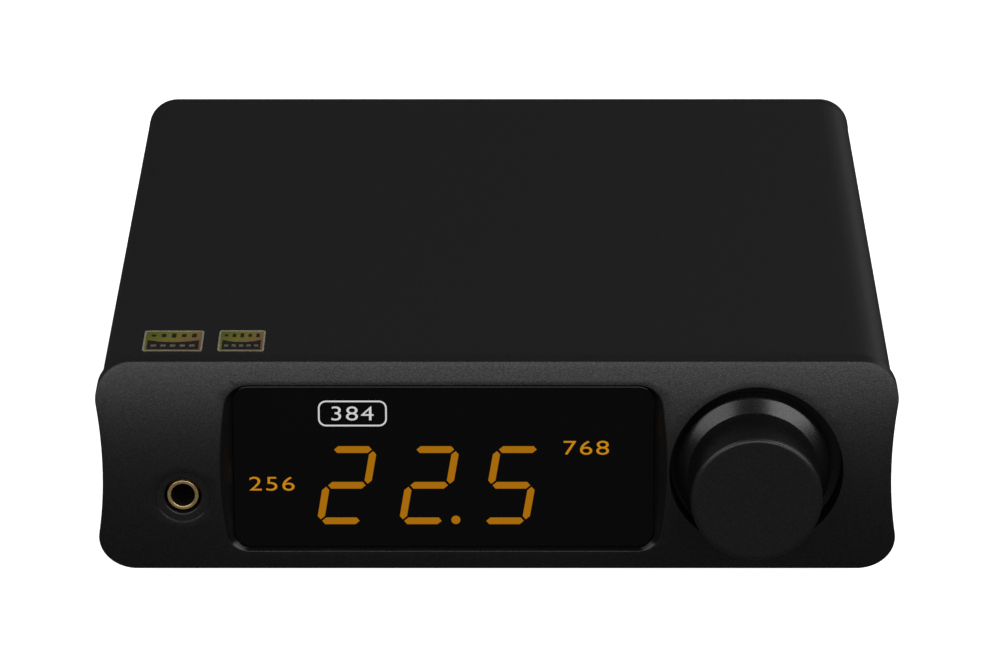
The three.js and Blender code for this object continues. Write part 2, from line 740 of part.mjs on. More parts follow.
// Solid turned knob: a plain cylinder on a wider skirt whose front is cut back at 45 degrees.
// It is hollow behind, round the encoder's nut, and bored for the shaft.
function knob() {
  const chamfer = SKIRT_R - KNOB_R;
  const body = turned(KNOB_X, KNOB_Z, [
    [0, KNOB_FRONT],
    [KNOB_R - KNOB_EDGE, KNOB_FRONT],
    [KNOB_R - 0.3 * KNOB_EDGE, KNOB_FRONT + 0.3 * KNOB_EDGE],
    [KNOB_R, KNOB_FRONT + KNOB_EDGE],
    [KNOB_R, SKIRT_FRONT - chamfer],
    [SKIRT_R, SKIRT_FRONT],
    [SKIRT_R, KNOB_BACK],
    [0, KNOB_BACK],
  ], 48);
  return cut(
    body,
    rod(KNOB_X, KNOB_Z, KNOB_HOLLOW_R, KNOB_HOLLOW_FLOOR, KNOB_BACK + PAST, 32),
    rod(KNOB_X, KNOB_Z, SHAFT_R + SEAM / 2, SHAFT_FRONT - SEAM, KNOB_BACK + PAST, 32),
  );
}

// Shaft with a flat on the part that the knob grips.
function encoderShaft() {
  const round = rod(KNOB_X, KNOB_Z, SHAFT_R, SHAFT_FRONT, SHAFT_BACK, 32);
  const flat = block(KNOB_X - SHAFT_R - PAST, KNOB_X + SHAFT_R + PAST, SHAFT_FRONT - PAST,
    SHAFT_FLAT_END, KNOB_Z + SHAFT_FLAT, KNOB_Z + SHAFT_R + PAST);
  return cut(round, flat);
}

// Housing and threaded bushing in one piece, bored right through for the shaft and the plunger.
function encoderBody() {
  const housing = block(KNOB_X - ENCODER_W / 2, KNOB_X + ENCODER_W / 2, SPIGOT_BACK + SEAM,
    ENCODER_BACK, KNOB_Z - ENCODER_H / 2, KNOB_Z + ENCODER_H / 2);
  const bushing = rod(KNOB_X, KNOB_Z, BUSHING_R, BUSHING_TIP, SPIGOT_BACK + PAST, 32);
  const boreR = SHAFT_R + SHAFT_RUNNING;
  const bore = rod(KNOB_X, KNOB_Z, boreR, BUSHING_TIP - PAST, ENCODER_BACK + PAST, 32);
  return cut(join(housing, bushing), bore);
}

const plunger = rod(KNOB_X, KNOB_Z, SHAFT_R, SHAFT_BACK + SEAM, PLUNGER_BACK, 32);
const washer = tube(KNOB_X, KNOB_Z, WASHER_R, BUSHING_R + SEAM, WASHER_BACK - WASHER_T, WASHER_BACK);
const nut = hexNut(KNOB_X, KNOB_Z, NUT_ACROSS, BUSHING_R + SEAM, NUT_BACK - NUT_T, NUT_BACK);

add('knob', knob(), 'black_anodised');
add('encoder_shaft', encoderShaft(), 'steel');
add('encoder_plunger', plunger, 'white_plastic');
add('encoder_body', encoderBody(), 'steel');
add('encoder_washer', washer, 'steel');
add('encoder_nut', nut, 'steel');

// ---------------------------------------------------------------- headphone jack

// Moulded body with a bore for the plug and a slot in its top for the contact spring.
function jackBody() {
  const slotHalfL = JACK_CONTACT_HALF_L + FIT;
  return cut(
    block(JACK_X - JACK_HALF_W, JACK_X + JACK_HALF_W, SPIGOT_BACK + 2 * SEAM, JACK_BACK,
      BOARD_TOP + SEAM, JACK_TOP),
    rod(JACK_X, JACK_Z, JACK_BORE_R, SPIGOT_BACK - PAST, JACK_BACK - JACK_END_WALL),
    block(JACK_X - JACK_SLOT_HALF_W, JACK_X + JACK_SLOT_HALF_W, JACK_CONTACT_Y - slotHalfL,
      JACK_CONTACT_Y + slotHalfL, JACK_Z + JACK_SLOT_HALF_W, JACK_TOP + PAST),
  );
}

// Contact spring, which reaches a little way into the bore.
function jackContact() {
  const floor = JACK_Z + JACK_BORE_R - 2 * SEAM;
  return block(JACK_X - JACK_CONTACT_HALF_W, JACK_X + JACK_CONTACT_HALF_W,
    JACK_CONTACT_Y - JACK_CONTACT_HALF_L, JACK_CONTACT_Y + JACK_CONTACT_HALF_L,
    floor, floor + JACK_CONTACT_T);
}

const jackRing = tube(JACK_X, JACK_Z, JACK_RING_R, JACK_BORE_R, JACK_RING_FRONT, SPIGOT_BACK + SEAM);

add('jack_body', jackBody(), 'black_plastic');
add('jack_ring', jackRing, 'gold_plate');
add('jack_contact', jackContact(), 'gold_plate');

// ---------------------------------------------------------------- main board and what is on it

// The board is cut away at the front for the display, and keeps a tongue that carries the jack.
function mainBoard() {
  const floor = BOARD_TOP - BOARD_T;
  const tongueSide = JACK_X + JACK_HALF_W + BOARD_TONGUE_SIDE;
  return join(
    block(-BOARD_HALF_W, BOARD_HALF_W, BOARD_FRONT, HOUSING_BACK, floor, BOARD_TOP),
    block(-BOARD_HALF_W, tongueSide, BOARD_TONGUE_FRONT, BOARD_FRONT + PAST, floor, BOARD_TOP),
  );
}

add('main_board', mainBoard(), 'circuit_green');

// name, centre x, centre y, width, depth, height, finish
const CHIPS = [
  ['wireless_shield', 37, 92, 20, 15, 2.6, 'can_aluminium'],
  ['input_processor', -24, 82, 14, 14, 1.6, 'black_plastic'],
  ['converter_chip', 8, 72, 9, 9, 1.4, 'black_plastic'],
  ['headphone_amplifier', -38, 38, 6, 5, 1.5, 'black_plastic'],
  ['line_amplifier', 24, 66, 5, 6, 1.5, 'black_plastic'],
  ['clock_oscillator', -6, 82, 5, 3.2, 1.3, 'steel'],
  ['power_inductor', -44, 92, 8, 8, 4, 'black_plastic'],
  ['board_header', -5, 17.7, 30, 4, 3, 'black_plastic'],
];
CHIPS.forEach(([name, x, y, width, depth, height, finish]) => {
  add(name, block(x - width / 2, x + width / 2, y - depth / 2, y + depth / 2,
    BOARD_TOP + SEAM, BOARD_TOP + SEAM + height), finish);
});

CAPACITORS.forEach(([x, y], i) => {
  add(`capacitor_${i + 1}`, post(x, y, CAPACITOR_R, CAPACITOR_R, BOARD_TOP + SEAM,
    BOARD_TOP + SEAM + CAPACITOR_H, 20), 'can_aluminium');
});

// ---------------------------------------------------------------- rear sockets

// Phono socket: a moulded housing with a coloured collar, a plated shell round the collar and a
// closed contact tube in the middle.
function addPhono(name, x, collar) {
  const front = HOUSING_BACK - PHONO_DEPTH;
  const contactFront = front + 1.5;
  const housing = cut(
    join(
      block(x - PHONO_HALF_W, x + PHONO_HALF_W, front, HOUSING_BACK, BOARD_TOP + SEAM,
        SOCKET_Z + PHONO_HALF_W + 2 * FIT),
      rod(x, SOCKET_Z, PHONO_BORE_R - SEAM, HOUSING_BACK - PAST, BARREL_END - PHONO_COLLAR_SINK),
    ),
    rod(x, SOCKET_Z, PHONO_CONTACT_R + 2 * SEAM, contactFront, BARREL_END + PAST, 16),
  );
  const shell = turned(x, SOCKET_Z, [
    [PHONO_BORE_R, HOUSING_BACK + SEAM],
    [PHONO_R, HOUSING_BACK + SEAM],
    [PHONO_R, REAR_FACE + SEAM],
    [PHONO_FLANGE_R, REAR_FACE + SEAM],
    [PHONO_FLANGE_R, REAR_FACE + SEAM + PHONO_FLANGE_T],
    [PHONO_R, REAR_FACE + SEAM + PHONO_FLANGE_T],
    [PHONO_R, BARREL_END - FIT],
    [PHONO_R - 2 * SEAM, BARREL_END],
    [PHONO_BORE_R, BARREL_END],
    [PHONO_BORE_R, HOUSING_BACK + SEAM],
  ]);
  const tubeR = PHONO_CONTACT_R - PHONO_CONTACT_WALL;
  const contact = turned(x, SOCKET_Z, [
    [0, contactFront + SEAM],
    [PHONO_CONTACT_R, contactFront + SEAM],
    [PHONO_CONTACT_R, BARREL_END - PHONO_CONTACT_SINK],
    [tubeR, BARREL_END - PHONO_CONTACT_SINK],
    [tubeR, contactFront + 1],
    [0, contactFront + 1],
  ], 16);
  add(`${name}_housing`, housing, collar);
  add(`${name}_shell`, shell, 'gold_plate');
  add(`${name}_contact`, contact, 'gold_plate');
}

addPhono('line_left', LINE_LEFT_X, 'white_plastic');
addPhono('line_right', LINE_RIGHT_X, 'red_plastic');
addPhono('coaxial', COAX_X, 'orange_plastic');

// Optical socket: a square-nosed housing whose mouth is closed by a hinged shutter.
function opticalSocket() {
  const halfW = OPTICAL_W / 2;
  const halfH = OPTICAL_H / 2;
  const housing = block(OPTICAL_X - halfW - OPTICAL_SHOULDER, OPTICAL_X + halfW + OPTICAL_SHOULDER,
    OPTICAL_FRONT, HOUSING_BACK, BOARD_TOP + SEAM, OPTICAL_Z + halfH + OPTICAL_SHOULDER);
  const nose = block(OPTICAL_X - halfW, OPTICAL_X + halfW, HOUSING_BACK - PAST, OPTICAL_NOSE,
    OPTICAL_Z - halfH, OPTICAL_Z + halfH);
  const cavity = block(OPTICAL_X - CAVITY_HALF, OPTICAL_X + CAVITY_HALF, CAVITY_FRONT,
    OPTICAL_NOSE + PAST, OPTICAL_Z - CAVITY_HALF, OPTICAL_Z + CAVITY_HALF);
  return cut(join(housing, nose), cavity);
}

// Shutter: a thin flap that hangs from a round pivot along its upper edge.
function opticalShutter() {
  const halfW = CAVITY_HALF - SHUTTER_GAP;
  return join(
    block(OPTICAL_X - halfW, OPTICAL_X + halfW, SHUTTER_Y - SHUTTER_T / 2, SHUTTER_Y + SHUTTER_T / 2,
      OPTICAL_Z - CAVITY_HALF + SHUTTER_GAP, SHUTTER_Z),
    alongX(OPTICAL_X, SHUTTER_Y, SHUTTER_Z, SHUTTER_T / 2, 2 * halfW),
  );
}

add('optical_socket', opticalSocket(), 'black_plastic');
add('optical_shutter', opticalShutter(), 'black_plastic');

// USB-C socket: a pressed shell round a moulded insert, whose tongue stands in the middle.
function usbShell() {
  const bore = stadium(USB_W - 2 * USB_WALL, USB_H - 2 * USB_WALL);
  return cut(
    sweepY(stadium(USB_W, USB_H), USB_X, USB_Z, USB_FRONT, USB_NOSE, 5),
    sweepY(bore, USB_X, USB_Z, USB_FRONT - PAST, USB_NOSE + PAST, 5),
  );
}

function usbInsert() {
  const inset = 2 * (USB_WALL + SEAM);
  return join(
    sweepY(stadium(USB_W - inset, USB_H - inset), USB_X, USB_Z, USB_FRONT, USB_FRONT + USB_PLUG_T, 5),
    block(USB_X - TONGUE_HALF_W, USB_X + TONGUE_HALF_W, USB_FRONT + PAST, USB_NOSE - TONGUE_SINK,
      USB_Z - TONGUE_T / 2, USB_Z + TONGUE_T / 2),
  );
}

add('usb_shell', usbShell(), 'steel');
add('usb_insert', usbInsert(), 'black_plastic');

// Power inlet: a moulded housing with a round nose, and its centre pin.
function powerInlet() {
  return cut(
    join(
      block(DC_X - DC_HALF_W, DC_X + DC_HALF_W, HOUSING_BACK - DC_DEPTH, HOUSING_BACK,
        BOARD_TOP + SEAM, DC_TOP),
      rod(DC_X, DC_Z, DC_NOSE_R, HOUSING_BACK - PAST, DC_NOSE),
    ),
    rod(DC_X, DC_Z, DC_BORE_R, DC_BORE_FRONT, DC_NOSE + PAST),
    rod(DC_X, DC_Z, DC_PIN_R + SEAM, DC_BORE_FRONT - DC_PIN_ROOT - 2 * SEAM, DC_BORE_FRONT + PAST, 16),
  );
}

function powerPin() {
  const root = DC_BORE_FRONT - DC_PIN_ROOT;
  const tip = DC_NOSE - DC_PIN_SINK;
  return turned(DC_X, DC_Z, [
    [0, root],
    [DC_PIN_R, root],
    [DC_PIN_R, tip - (DC_PIN_R - DC_PIN_TIP_R)],
    [DC_PIN_TIP_R, tip],
    [0, tip],
  ], 16);
}

add('power_inlet', powerInlet(), 'black_plastic');
add('power_pin', powerPin(), 'steel');

// Antenna connector: a barrel with a flange inside the rear plate, clamped by a hexagon nut outside.
function antennaConnector() {
  const tail = REAR_INNER - ANTENNA_TAIL;
  const flangeBack = REAR_INNER - SEAM;
  const flangeFront = flangeBack - ANTENNA_FLANGE_T;
  const barrel = turned(ANTENNA_X, SOCKET_Z, [
    [0, tail],
    [ANTENNA_CABLE_R, tail],
    [ANTENNA_CABLE_R, flangeFront],
    [ANTENNA_FLANGE_R, flangeFront],
    [ANTENNA_FLANGE_R, flangeBack],
    [ANTENNA_R, flangeBack],
    [ANTENNA_R, ANTENNA_END - FIT],
    [ANTENNA_R - FIT, ANTENNA_END],
    [0, ANTENNA_END],
  ]);
  return cut(barrel, rod(ANTENNA_X, SOCKET_Z, ANTENNA_BORE_R, REAR_INNER - PAST, ANTENNA_END + PAST));
}

function antennaInsulator() {
  const front = REAR_INNER - PAST + SEAM;
  return cut(
    rod(ANTENNA_X, SOCKET_Z, ANTENNA_BORE_R - SEAM, front, ANTENNA_END - ANTENNA_INSULATOR_SINK),
    rod(ANTENNA_X, SOCKET_Z, ANTENNA_CONTACT_R, REAR_FACE + 2, ANTENNA_END + PAST, 12),
  );
}

const antennaNut = hexNut(ANTENNA_X, SOCKET_Z, ANTENNA_NUT_ACROSS, ANTENNA_R + SEAM,
  REAR_FACE + SEAM, REAR_FACE + SEAM + ANTENNA_NUT_T);

add('antenna_connector', antennaConnector(), 'gold_plate');
add('antenna_insulator', antennaInsulator(), 'white_plastic');
add('antenna_nut', antennaNut, 'gold_plate');

// The origin goes under the middle of the whole object.
group.position.y = -(KNOB_FRONT + BARREL_END) / 2;

export default group;
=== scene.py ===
"""Desktop DAC and headphone amplifier: looks, in metres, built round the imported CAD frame.

Shapes are worked out in millimetres in the face frame: x to the right, y back from the foremost
line of the front plate's crown, h up from half the plate's height. spot() turns them into metres.
"""
import json
import math

import bmesh
import bpy
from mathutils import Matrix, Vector, geometry, kdtree


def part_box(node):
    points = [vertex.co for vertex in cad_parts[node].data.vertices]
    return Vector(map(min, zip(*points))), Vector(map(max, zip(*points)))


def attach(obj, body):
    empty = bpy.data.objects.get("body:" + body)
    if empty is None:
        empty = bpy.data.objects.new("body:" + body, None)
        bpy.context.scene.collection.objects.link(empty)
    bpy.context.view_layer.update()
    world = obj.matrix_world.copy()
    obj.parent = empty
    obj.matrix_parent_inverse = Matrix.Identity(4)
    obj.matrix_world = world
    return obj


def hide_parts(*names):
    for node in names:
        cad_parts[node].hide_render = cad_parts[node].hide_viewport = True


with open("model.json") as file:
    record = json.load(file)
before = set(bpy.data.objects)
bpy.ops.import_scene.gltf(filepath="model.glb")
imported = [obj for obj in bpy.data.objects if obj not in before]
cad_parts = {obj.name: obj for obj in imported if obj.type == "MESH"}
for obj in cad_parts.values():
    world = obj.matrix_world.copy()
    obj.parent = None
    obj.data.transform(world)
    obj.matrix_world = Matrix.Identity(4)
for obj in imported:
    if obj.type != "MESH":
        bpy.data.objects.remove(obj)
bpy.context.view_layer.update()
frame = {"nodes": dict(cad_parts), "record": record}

MM = 0.001

# ------------------------------------------------------------------ places taken from the frame


def box_mm(node):
    """A CAD node's box in millimetres, as (low corner, high corner)."""
    low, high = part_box(node)
    return Vector(low) / MM, Vector(high) / MM


plate_low, plate_high = box_mm("front_plate")
CROWN_Y = plate_low.y
MID_Z = (plate_low.z + plate_high.z) / 2


def spot(x, y, h):
    """A point given in mm on the face (x right, y back, h up), in metres as the scene has it."""
    return Vector((x, CROWN_Y + y, MID_Z + h)) * MM


def face_box(node):
    """A CAD node's box in the face frame, in millimetres."""
    low, high = box_mm(node)
    shift = Vector((0, CROWN_Y, MID_Z))
    return low - shift, high - shift


# Front plate, mm
PLATE_HALF_W = (plate_high.x - plate_low.x) / 2
PLATE_HALF_H = (plate_high.z - plate_low.z) / 2
PLATE_BACK = 5.0
PLATE_CORNER = 5.6
PLATE_WAIST = 0.9
CROWN_R = 60.0
PLATE_EDGE = 0.14

# Window and lens, mm
lens_low, lens_high = face_box("window_lens")
LENS_LIP = 1.0
LENS_SEAT = 1.3
WINDOW_X = (lens_low.x + lens_high.x) / 2
WINDOW_MID = (lens_low.z + lens_high.z) / 2
WINDOW_W = lens_high.x - lens_low.x - 2 * LENS_LIP
WINDOW_H = lens_high.z - lens_low.z - 2 * LENS_LIP
WINDOW_R = 2.5
WINDOW_DEPTH = lens_low.y
WINDOW_SPREAD = 0.82
WINDOW_RISE = 0.5
LENS_STEP = 3.2
LENS_BACK = lens_high.y
LENS_GAP = 0.1

# Knob and its recess, mm
knob_low, knob_high = face_box("knob")
KNOB_X = (knob_low.x + knob_high.x) / 2
KNOB_H = (knob_low.z + knob_high.z) / 2
KNOB_FRONT = knob_low.y
KNOB_BACK = knob_high.y
SKIRT_R = (knob_high.x - knob_low.x) / 2
KNOB_R = 9.8
SKIRT_FRONT = 1.2
KNOB_EDGE = 0.65
KNOB_HOLLOW_R = 6.6
KNOB_HOLLOW_FLOOR = 0.4
SHAFT_HOLE_R = 3.05
SHAFT_HOLE_FLOOR = -8.5
RECESS_X = KNOB_X + 0.4
RECESS_R = 13.0
RECESS_FLOOR = 4.3
BUSHING_HOLE_R = 3.8

# Headphone jack, mm
ring_low, ring_high = face_box("jack_ring")
JACK_X = (ring_low.x + ring_high.x) / 2
JACK_H = (ring_low.z + ring_high.z) / 2
JACK_RING_FRONT = ring_low.y
JACK_RING_BACK = ring_high.y
JACK_RING_R = (ring_high.x - ring_low.x) / 2
JACK_BORE_R = 1.82
JACK_RING_EDGE = 0.12
JACK_SPOT_R = 4.15
JACK_SPOT_FLOOR = 0.8
JACK_HOLE_R = 2.8

# Case, mm
sleeve_low, sleeve_high = face_box("case_sleeve")
SLEEVE_HALF_W = sleeve_high.x
SLEEVE_HALF_H = sleeve_high.z
SLEEVE_R = 5.0
SLEEVE_WALL = 1.6
SLEEVE_RIM = 0.25
SCREW_HEAD_R = 2.7
SCREW_HOLE_R = 1.4
SCREW_SEAT = 1.2

# ------------------------------------------------------------------ mesh code


class Shell:
    """Collects sheets and ring strips, in millimetres in the face frame, and welds them into one mesh."""

    def __init__(self):
        self.points = []
        self.faces = []
        self.paints = []
        self.paint = 0

    def face(self, corners):
        self.faces.append(corners)
        self.paints.append(self.paint)

    def add(self, points):
        start = len(self.points)
        self.points.extend(points)
        return list(range(start, start + len(points)))

    def strip(self, rings):
        """Quads between successive closed rings of equal length."""
        rows = [self.add(ring) for ring in rings]
        for near, far in zip(rows, rows[1:]):
            for i in range(len(near)):
                j = (i + 1) % len(near)
                self.face((near[i], near[j], far[j], far[i]))

    def cap(self, ring):
        """A fan from the middle of a convex flat ring to its edge."""
        rim = self.add(ring)
        middle = sum((Vector(p) for p in ring), Vector()) / len(ring)
        centre = self.add([middle])[0]
        for i in range(len(rim)):
            self.face((rim[i], rim[(i + 1) % len(rim)], centre))

    def sheet(self, outer, holes, place, step=None, squeeze=1.0):
        """Triangles between an outer loop and holes, all lists of (u, v), laid out by place(u, v).

        step adds inner points on a grid of that size, which is squeeze times longer along u.
        """
        loops = [outer, *holes]
        flat = [Vector((u / squeeze, v)) for loop in loops for u, v in loop]
        edges = []
        start = 0
        for loop in loops:
            count = len(loop)
            edges += [(start + i, start + (i + 1) % count) for i in range(count)]
            start += count
        if step:
            flat += grid_points(flat, step)
        points, _, faces, *_ = geometry.delaunay_2d_cdt(flat, edges, [], 1, 1e-6)
        index = self.add([place(p.x * squeeze, p.y) for p in points])
        for face in faces:
            middle = sum((points[i] for i in face), Vector((0, 0))) / len(face)
            if not any(encloses(hole, middle.x * squeeze, middle.y) for hole in holes):
                self.face(tuple(index[i] for i in face))

    def build(self, name, material, origin=None, sharp=35.0, second=None):
        """Welds the pieces, turns the faces outward and makes the object."""
        bm = bmesh.new()
        corners = [bm.verts.new(p) for p in self.points]
        for face, paint in zip(self.faces, self.paints):
            bm.faces.new([corners[i] for i in face]).material_index = paint
        bmesh.ops.remove_doubles(bm, verts=bm.verts, dist=2e-4)
        bmesh.ops.dissolve_degenerate(bm, edges=bm.edges, dist=1e-5)
        bmesh.ops.recalc_face_normals(bm, faces=bm.faces)
        shift = Vector((0, CROWN_Y, MID_Z)) - (Vector(origin) / MM if origin else Vector())
        for v in bm.verts:
            v.co = (v.co + shift) * MM
        mesh = bpy.data.meshes.new(name)
        bm.to_mesh(mesh)
        bm.free()
        piece = finish_mesh(name, mesh, material, origin, sharp)
        if second:
            mesh.materials.append(second)
        return piece


def encloses(loop, u, v):
    """Whether a closed loop of (u, v) goes round a point."""
    inside = False
    for (u0, v0), (u1, v1) in zip(loop, loop[1:] + loop[:1]):
        if (v0 > v) != (v1 > v) and u < u0 + (v - v0) * (u1 - u0) / (v1 - v0):
            inside = not inside
    return inside


def grid_points(loop_points, step):
    """Grid points inside the loops' box that keep clear of the loops' own points."""
    tree = kdtree.KDTree(len(loop_points))
    for i, p in enumerate(loop_points):
        tree.insert((p.x, p.y, 0), i)
    tree.balance()
    low = Vector((min(p.x for p in loop_points), min(p.y for p in loop_points)))
    high = Vector((max(p.x for p in loop_points), max(p.y for p in loop_points)))
    columns = math.ceil((high.x - low.x) / step)
    rows = math.ceil((high.y - low.y) / step)
    found = []
    for i in range(1, columns):
        for j in range(1, rows):
            p = Vector((low.x + (high.x - low.x) * i / columns, low.y + (high.y - low.y) * j / rows))
            if tree.find((p.x, p.y, 0))[2] > 0.5 * step:
                found.append(p)
    return found


def finish_mesh(name, mesh, material, origin=None, sharp=35.0):
    """Smooth shading with sharp edges by angle, and an object at the given origin."""
    mesh.materials.append(material)
    mesh.shade_smooth()
    mesh.set_sharp_from_angle(angle=math.radians(sharp))
    piece = bpy.data.objects.new(name, mesh)
    if origin:
        piece.location = origin
    bpy.context.scene.collection.objects.link(piece)
    return piece


def place_piece(piece, body, slot, *nodes):
    """Every piece rides a body and may stand for CAD nodes; the slot argument is not used."""
    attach(piece, body)
    if nodes:
        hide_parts(*nodes)
    return piece


def circle(x, h, radius, count):
    """Points (x, h) of a circle."""
    return [(x + radius * math.cos(math.tau * i / count), h + radius * math.sin(math.tau * i / count))
            for i in range(count)]


def rounded_rect(width, height, radius, per_corner=10, spacing=None):
    """Points and outward normals of a rounded rectangle about the origin, anticlockwise from +x."""
    outline = []
    centres = [(1, 1), (-1, 1), (-1, -1), (1, -1)]
    for quarter, (sx, sy) in enumerate(centres):
        cx = sx * (width / 2 - radius)
        cy = sy * (height / 2 - radius)
        for i in range(per_corner + 1):
            angle = (quarter + i / per_corner) * math.pi / 2
            normal = (math.cos(angle), math.sin(angle))
            outline.append(((cx + radius * normal[0], cy + radius * normal[1]), normal))
    return subdivide(outline, spacing) if spacing else outline


def subdivide(outline, spacing):
    """Adds points along the straight stretches of an outline of (point, normal)."""
    result = []
    for i, (point, normal) in enumerate(outline):
        result.append((point, normal))
        after, next_normal = outline[(i + 1) % len(outline)]
        length = math.dist(point, after)
        pieces = int(length // spacing)
        for k in range(1, pieces + 1):
            t = k / (pieces + 1)
            mixed = tuple(point[a] + (after[a] - point[a]) * t for a in (0, 1))
            result.append((mixed, next_normal if t > 0.5 else normal))
    return result


def turned(name, x, h, profile, material, segments=96, sharp=35.0, second=None, painted=()):
    """A turned piece about an axis along Y.

    The profile is (radius, y) points, and it starts and ends on the axis or closes. The stretches
    numbered in painted take the second material.
    """
    origin = spot(x, 0, h)
    shell = Shell()
    rows = []
    for radius, y in profile:
        if radius == 0:
            rows.append(shell.add([(x, y, h)]))
            continue
        rows.append(shell.add([(px, y, ph) for px, ph in circle(x, h, radius, segments)]))
    for stretch, (near, far) in enumerate(zip(rows, rows[1:])):
        shell.paint = 1 if stretch in painted else 0
        for i in range(segments):
            j = (i + 1) % segments
            if len(near) == 1 and len(far) == 1:
                break
            if len(near) == 1:
                shell.face((near[0], far[j], far[i]))
            elif len(far) == 1:
                shell.face((near[i], near[j], far[0]))
            else:
                shell.face((near[i], near[j], far[j], far[i]))
    return shell.build(name, material, origin, sharp, second)


def arc(cx, cy, radius, start, stop, steps):
    """Profile points on an arc, in degrees, where 0 points along +radius and 90 along +y."""
    points = []
    for i in range(steps + 1):
        angle = math.radians(start + (stop - start) * i / steps)
        points.append((cx + radius * math.cos(angle), cy + radius * math.sin(angle)))
    return points


def plaque(name, outlines, near, far, material, lying=False):
    """Flat plates between two depths.

    Each outline is an outer loop and its holes, in (x, h), or in (x, y) if the plates lie flat.
    """
    def at(depth):
        return lambda u, v: (u, v, depth) if lying else (u, depth, v)
    shell = Shell()
    for loops in outlines:
        for depth in (near, far):
            shell.sheet(loops[0], loops[1:], at(depth))
        for loop in loops:
            shell.strip([[at(depth)(u, v) for u, v in loop] for depth in (near, far)])
    return shell.build(name, material)


# ------------------------------------------------------------------ camera, floor and lights

CAMERA_PITCH = 21.25
CAMERA_YAW = 0.12
CAMERA_ROLL = -0.045
CAMERA_LENS = 195.8
CAMERA_X = 2.05
CAMERA_AHEAD = 751.7
CAMERA_ABOVE = 314.55


def add_camera():
    data = bpy.data.cameras.new("camera")
    data.sensor_width = 36.0
    data.lens = CAMERA_LENS
    data.clip_start = 0.01
    data.clip_end = 20.0
    camera = bpy.data.objects.new("camera", data)
    camera.location = spot(CAMERA_X, -CAMERA_AHEAD, CAMERA_ABOVE)
    camera.rotation_euler = (math.radians(90 - CAMERA_PITCH), 0, math.radians(CAMERA_YAW))
    camera.rotation_euler.rotate_axis("Z", math.radians(CAMERA_ROLL))
    bpy.context.scene.collection.objects.link(camera)
    bpy.context.scene.camera = camera


FLOOR_R = 2.4
FLOOR_RIM = 0.8
FLOOR_WALL = 1.2
FLOOR_GLOW = 1.0


def add_floor():
    """A round pale floor that curves up into a low wall, so that no view sees its edge."""
    shell = Shell()
    profile = [(FLOOR_R * k / 8, 0) for k in range(9)]
    profile += [(FLOOR_R + FLOOR_RIM * math.sin(a), FLOOR_RIM * (1 - math.cos(a)))
                for a in (math.pi / 2 * k / 12 for k in range(1, 13))]
    profile.append((FLOOR_R + FLOOR_RIM, FLOOR_RIM + FLOOR_WALL))
    segments = 96
    rings = [[(r * math.cos(math.tau * i / segments), r * math.sin(math.tau * i / segments), z)
              for i in range(segments)] for r, z in profile[1:]]
    shell.cap(rings[0])
    shell.strip(rings)
    mesh = bpy.data.meshes.new("studio_floor")
    mesh.from_pydata([tuple(p) for p in shell.points], [], shell.faces)
    floor = finish_mesh("studio_floor", mesh, floor_material())
    weld = bmesh.new()
    weld.from_mesh(mesh)
    bmesh.ops.remove_doubles(weld, verts=weld.verts, dist=1e-5)
    bmesh.ops.recalc_face_normals(weld, faces=weld.faces)
    if max(weld.faces, key=lambda f: f.calc_area()).normal.z < 0:
        bmesh.ops.reverse_faces(weld, faces=weld.faces)
    weld.to_mesh(mesh)
    weld.free()
    floor.visible_glossy = False
    floor.visible_diffuse = False


def add_softbox(name, azimuth, elevation, distance, width, height, power):
    """A rectangular area light that faces the object. Azimuth 0 is in front and 90 to the right."""
    data = bpy.data.lights.new(name, "AREA")
    data.shape = "RECTANGLE"
    data.size = width
    data.size_y = height
    data.energy = power
    light = bpy.data.objects.new(name, data)
    a = math.radians(azimuth)
    e = math.radians(elevation)
    aim = spot(0, 40, 0)
    away = Vector((math.sin(a) * math.cos(e), -math.cos(a) * math.cos(e), math.sin(e)))
    light.location = aim + away * distance
    light.rotation_euler = away.to_track_quat("Z", "Y").to_euler()
    bpy.context.scene.collection.objects.link(light)


WORLD_GREY = 0.053

# Name, azimuth and elevation in degrees, distance, width and height in metres, power in watts
SOFTBOXES = (
    ("front_low", 0, 12, 1.6, 1.8, 0.3, 4.6),
    ("front_high", 0, 25, 1.6, 1.8, 0.4, 4.9),
    ("left_box", -62, 42, 1.5, 1.2, 1.4, 7.1),
    ("right_box", 62, 42, 1.5, 1.2, 1.4, 10.8),
    ("rear_right", 135, 22, 1.6, 1.0, 0.8, 1.7),
)


def add_world():
    world = bpy.data.worlds.new("studio")
    world.use_nodes = True
    background = world.node_tree.nodes["Background"]
    background.inputs["Color"].default_value = (WORLD_GREY, WORLD_GREY, WORLD_GREY, 1)
    bpy.context.scene.world = world


# ------------------------------------------------------------------ materials


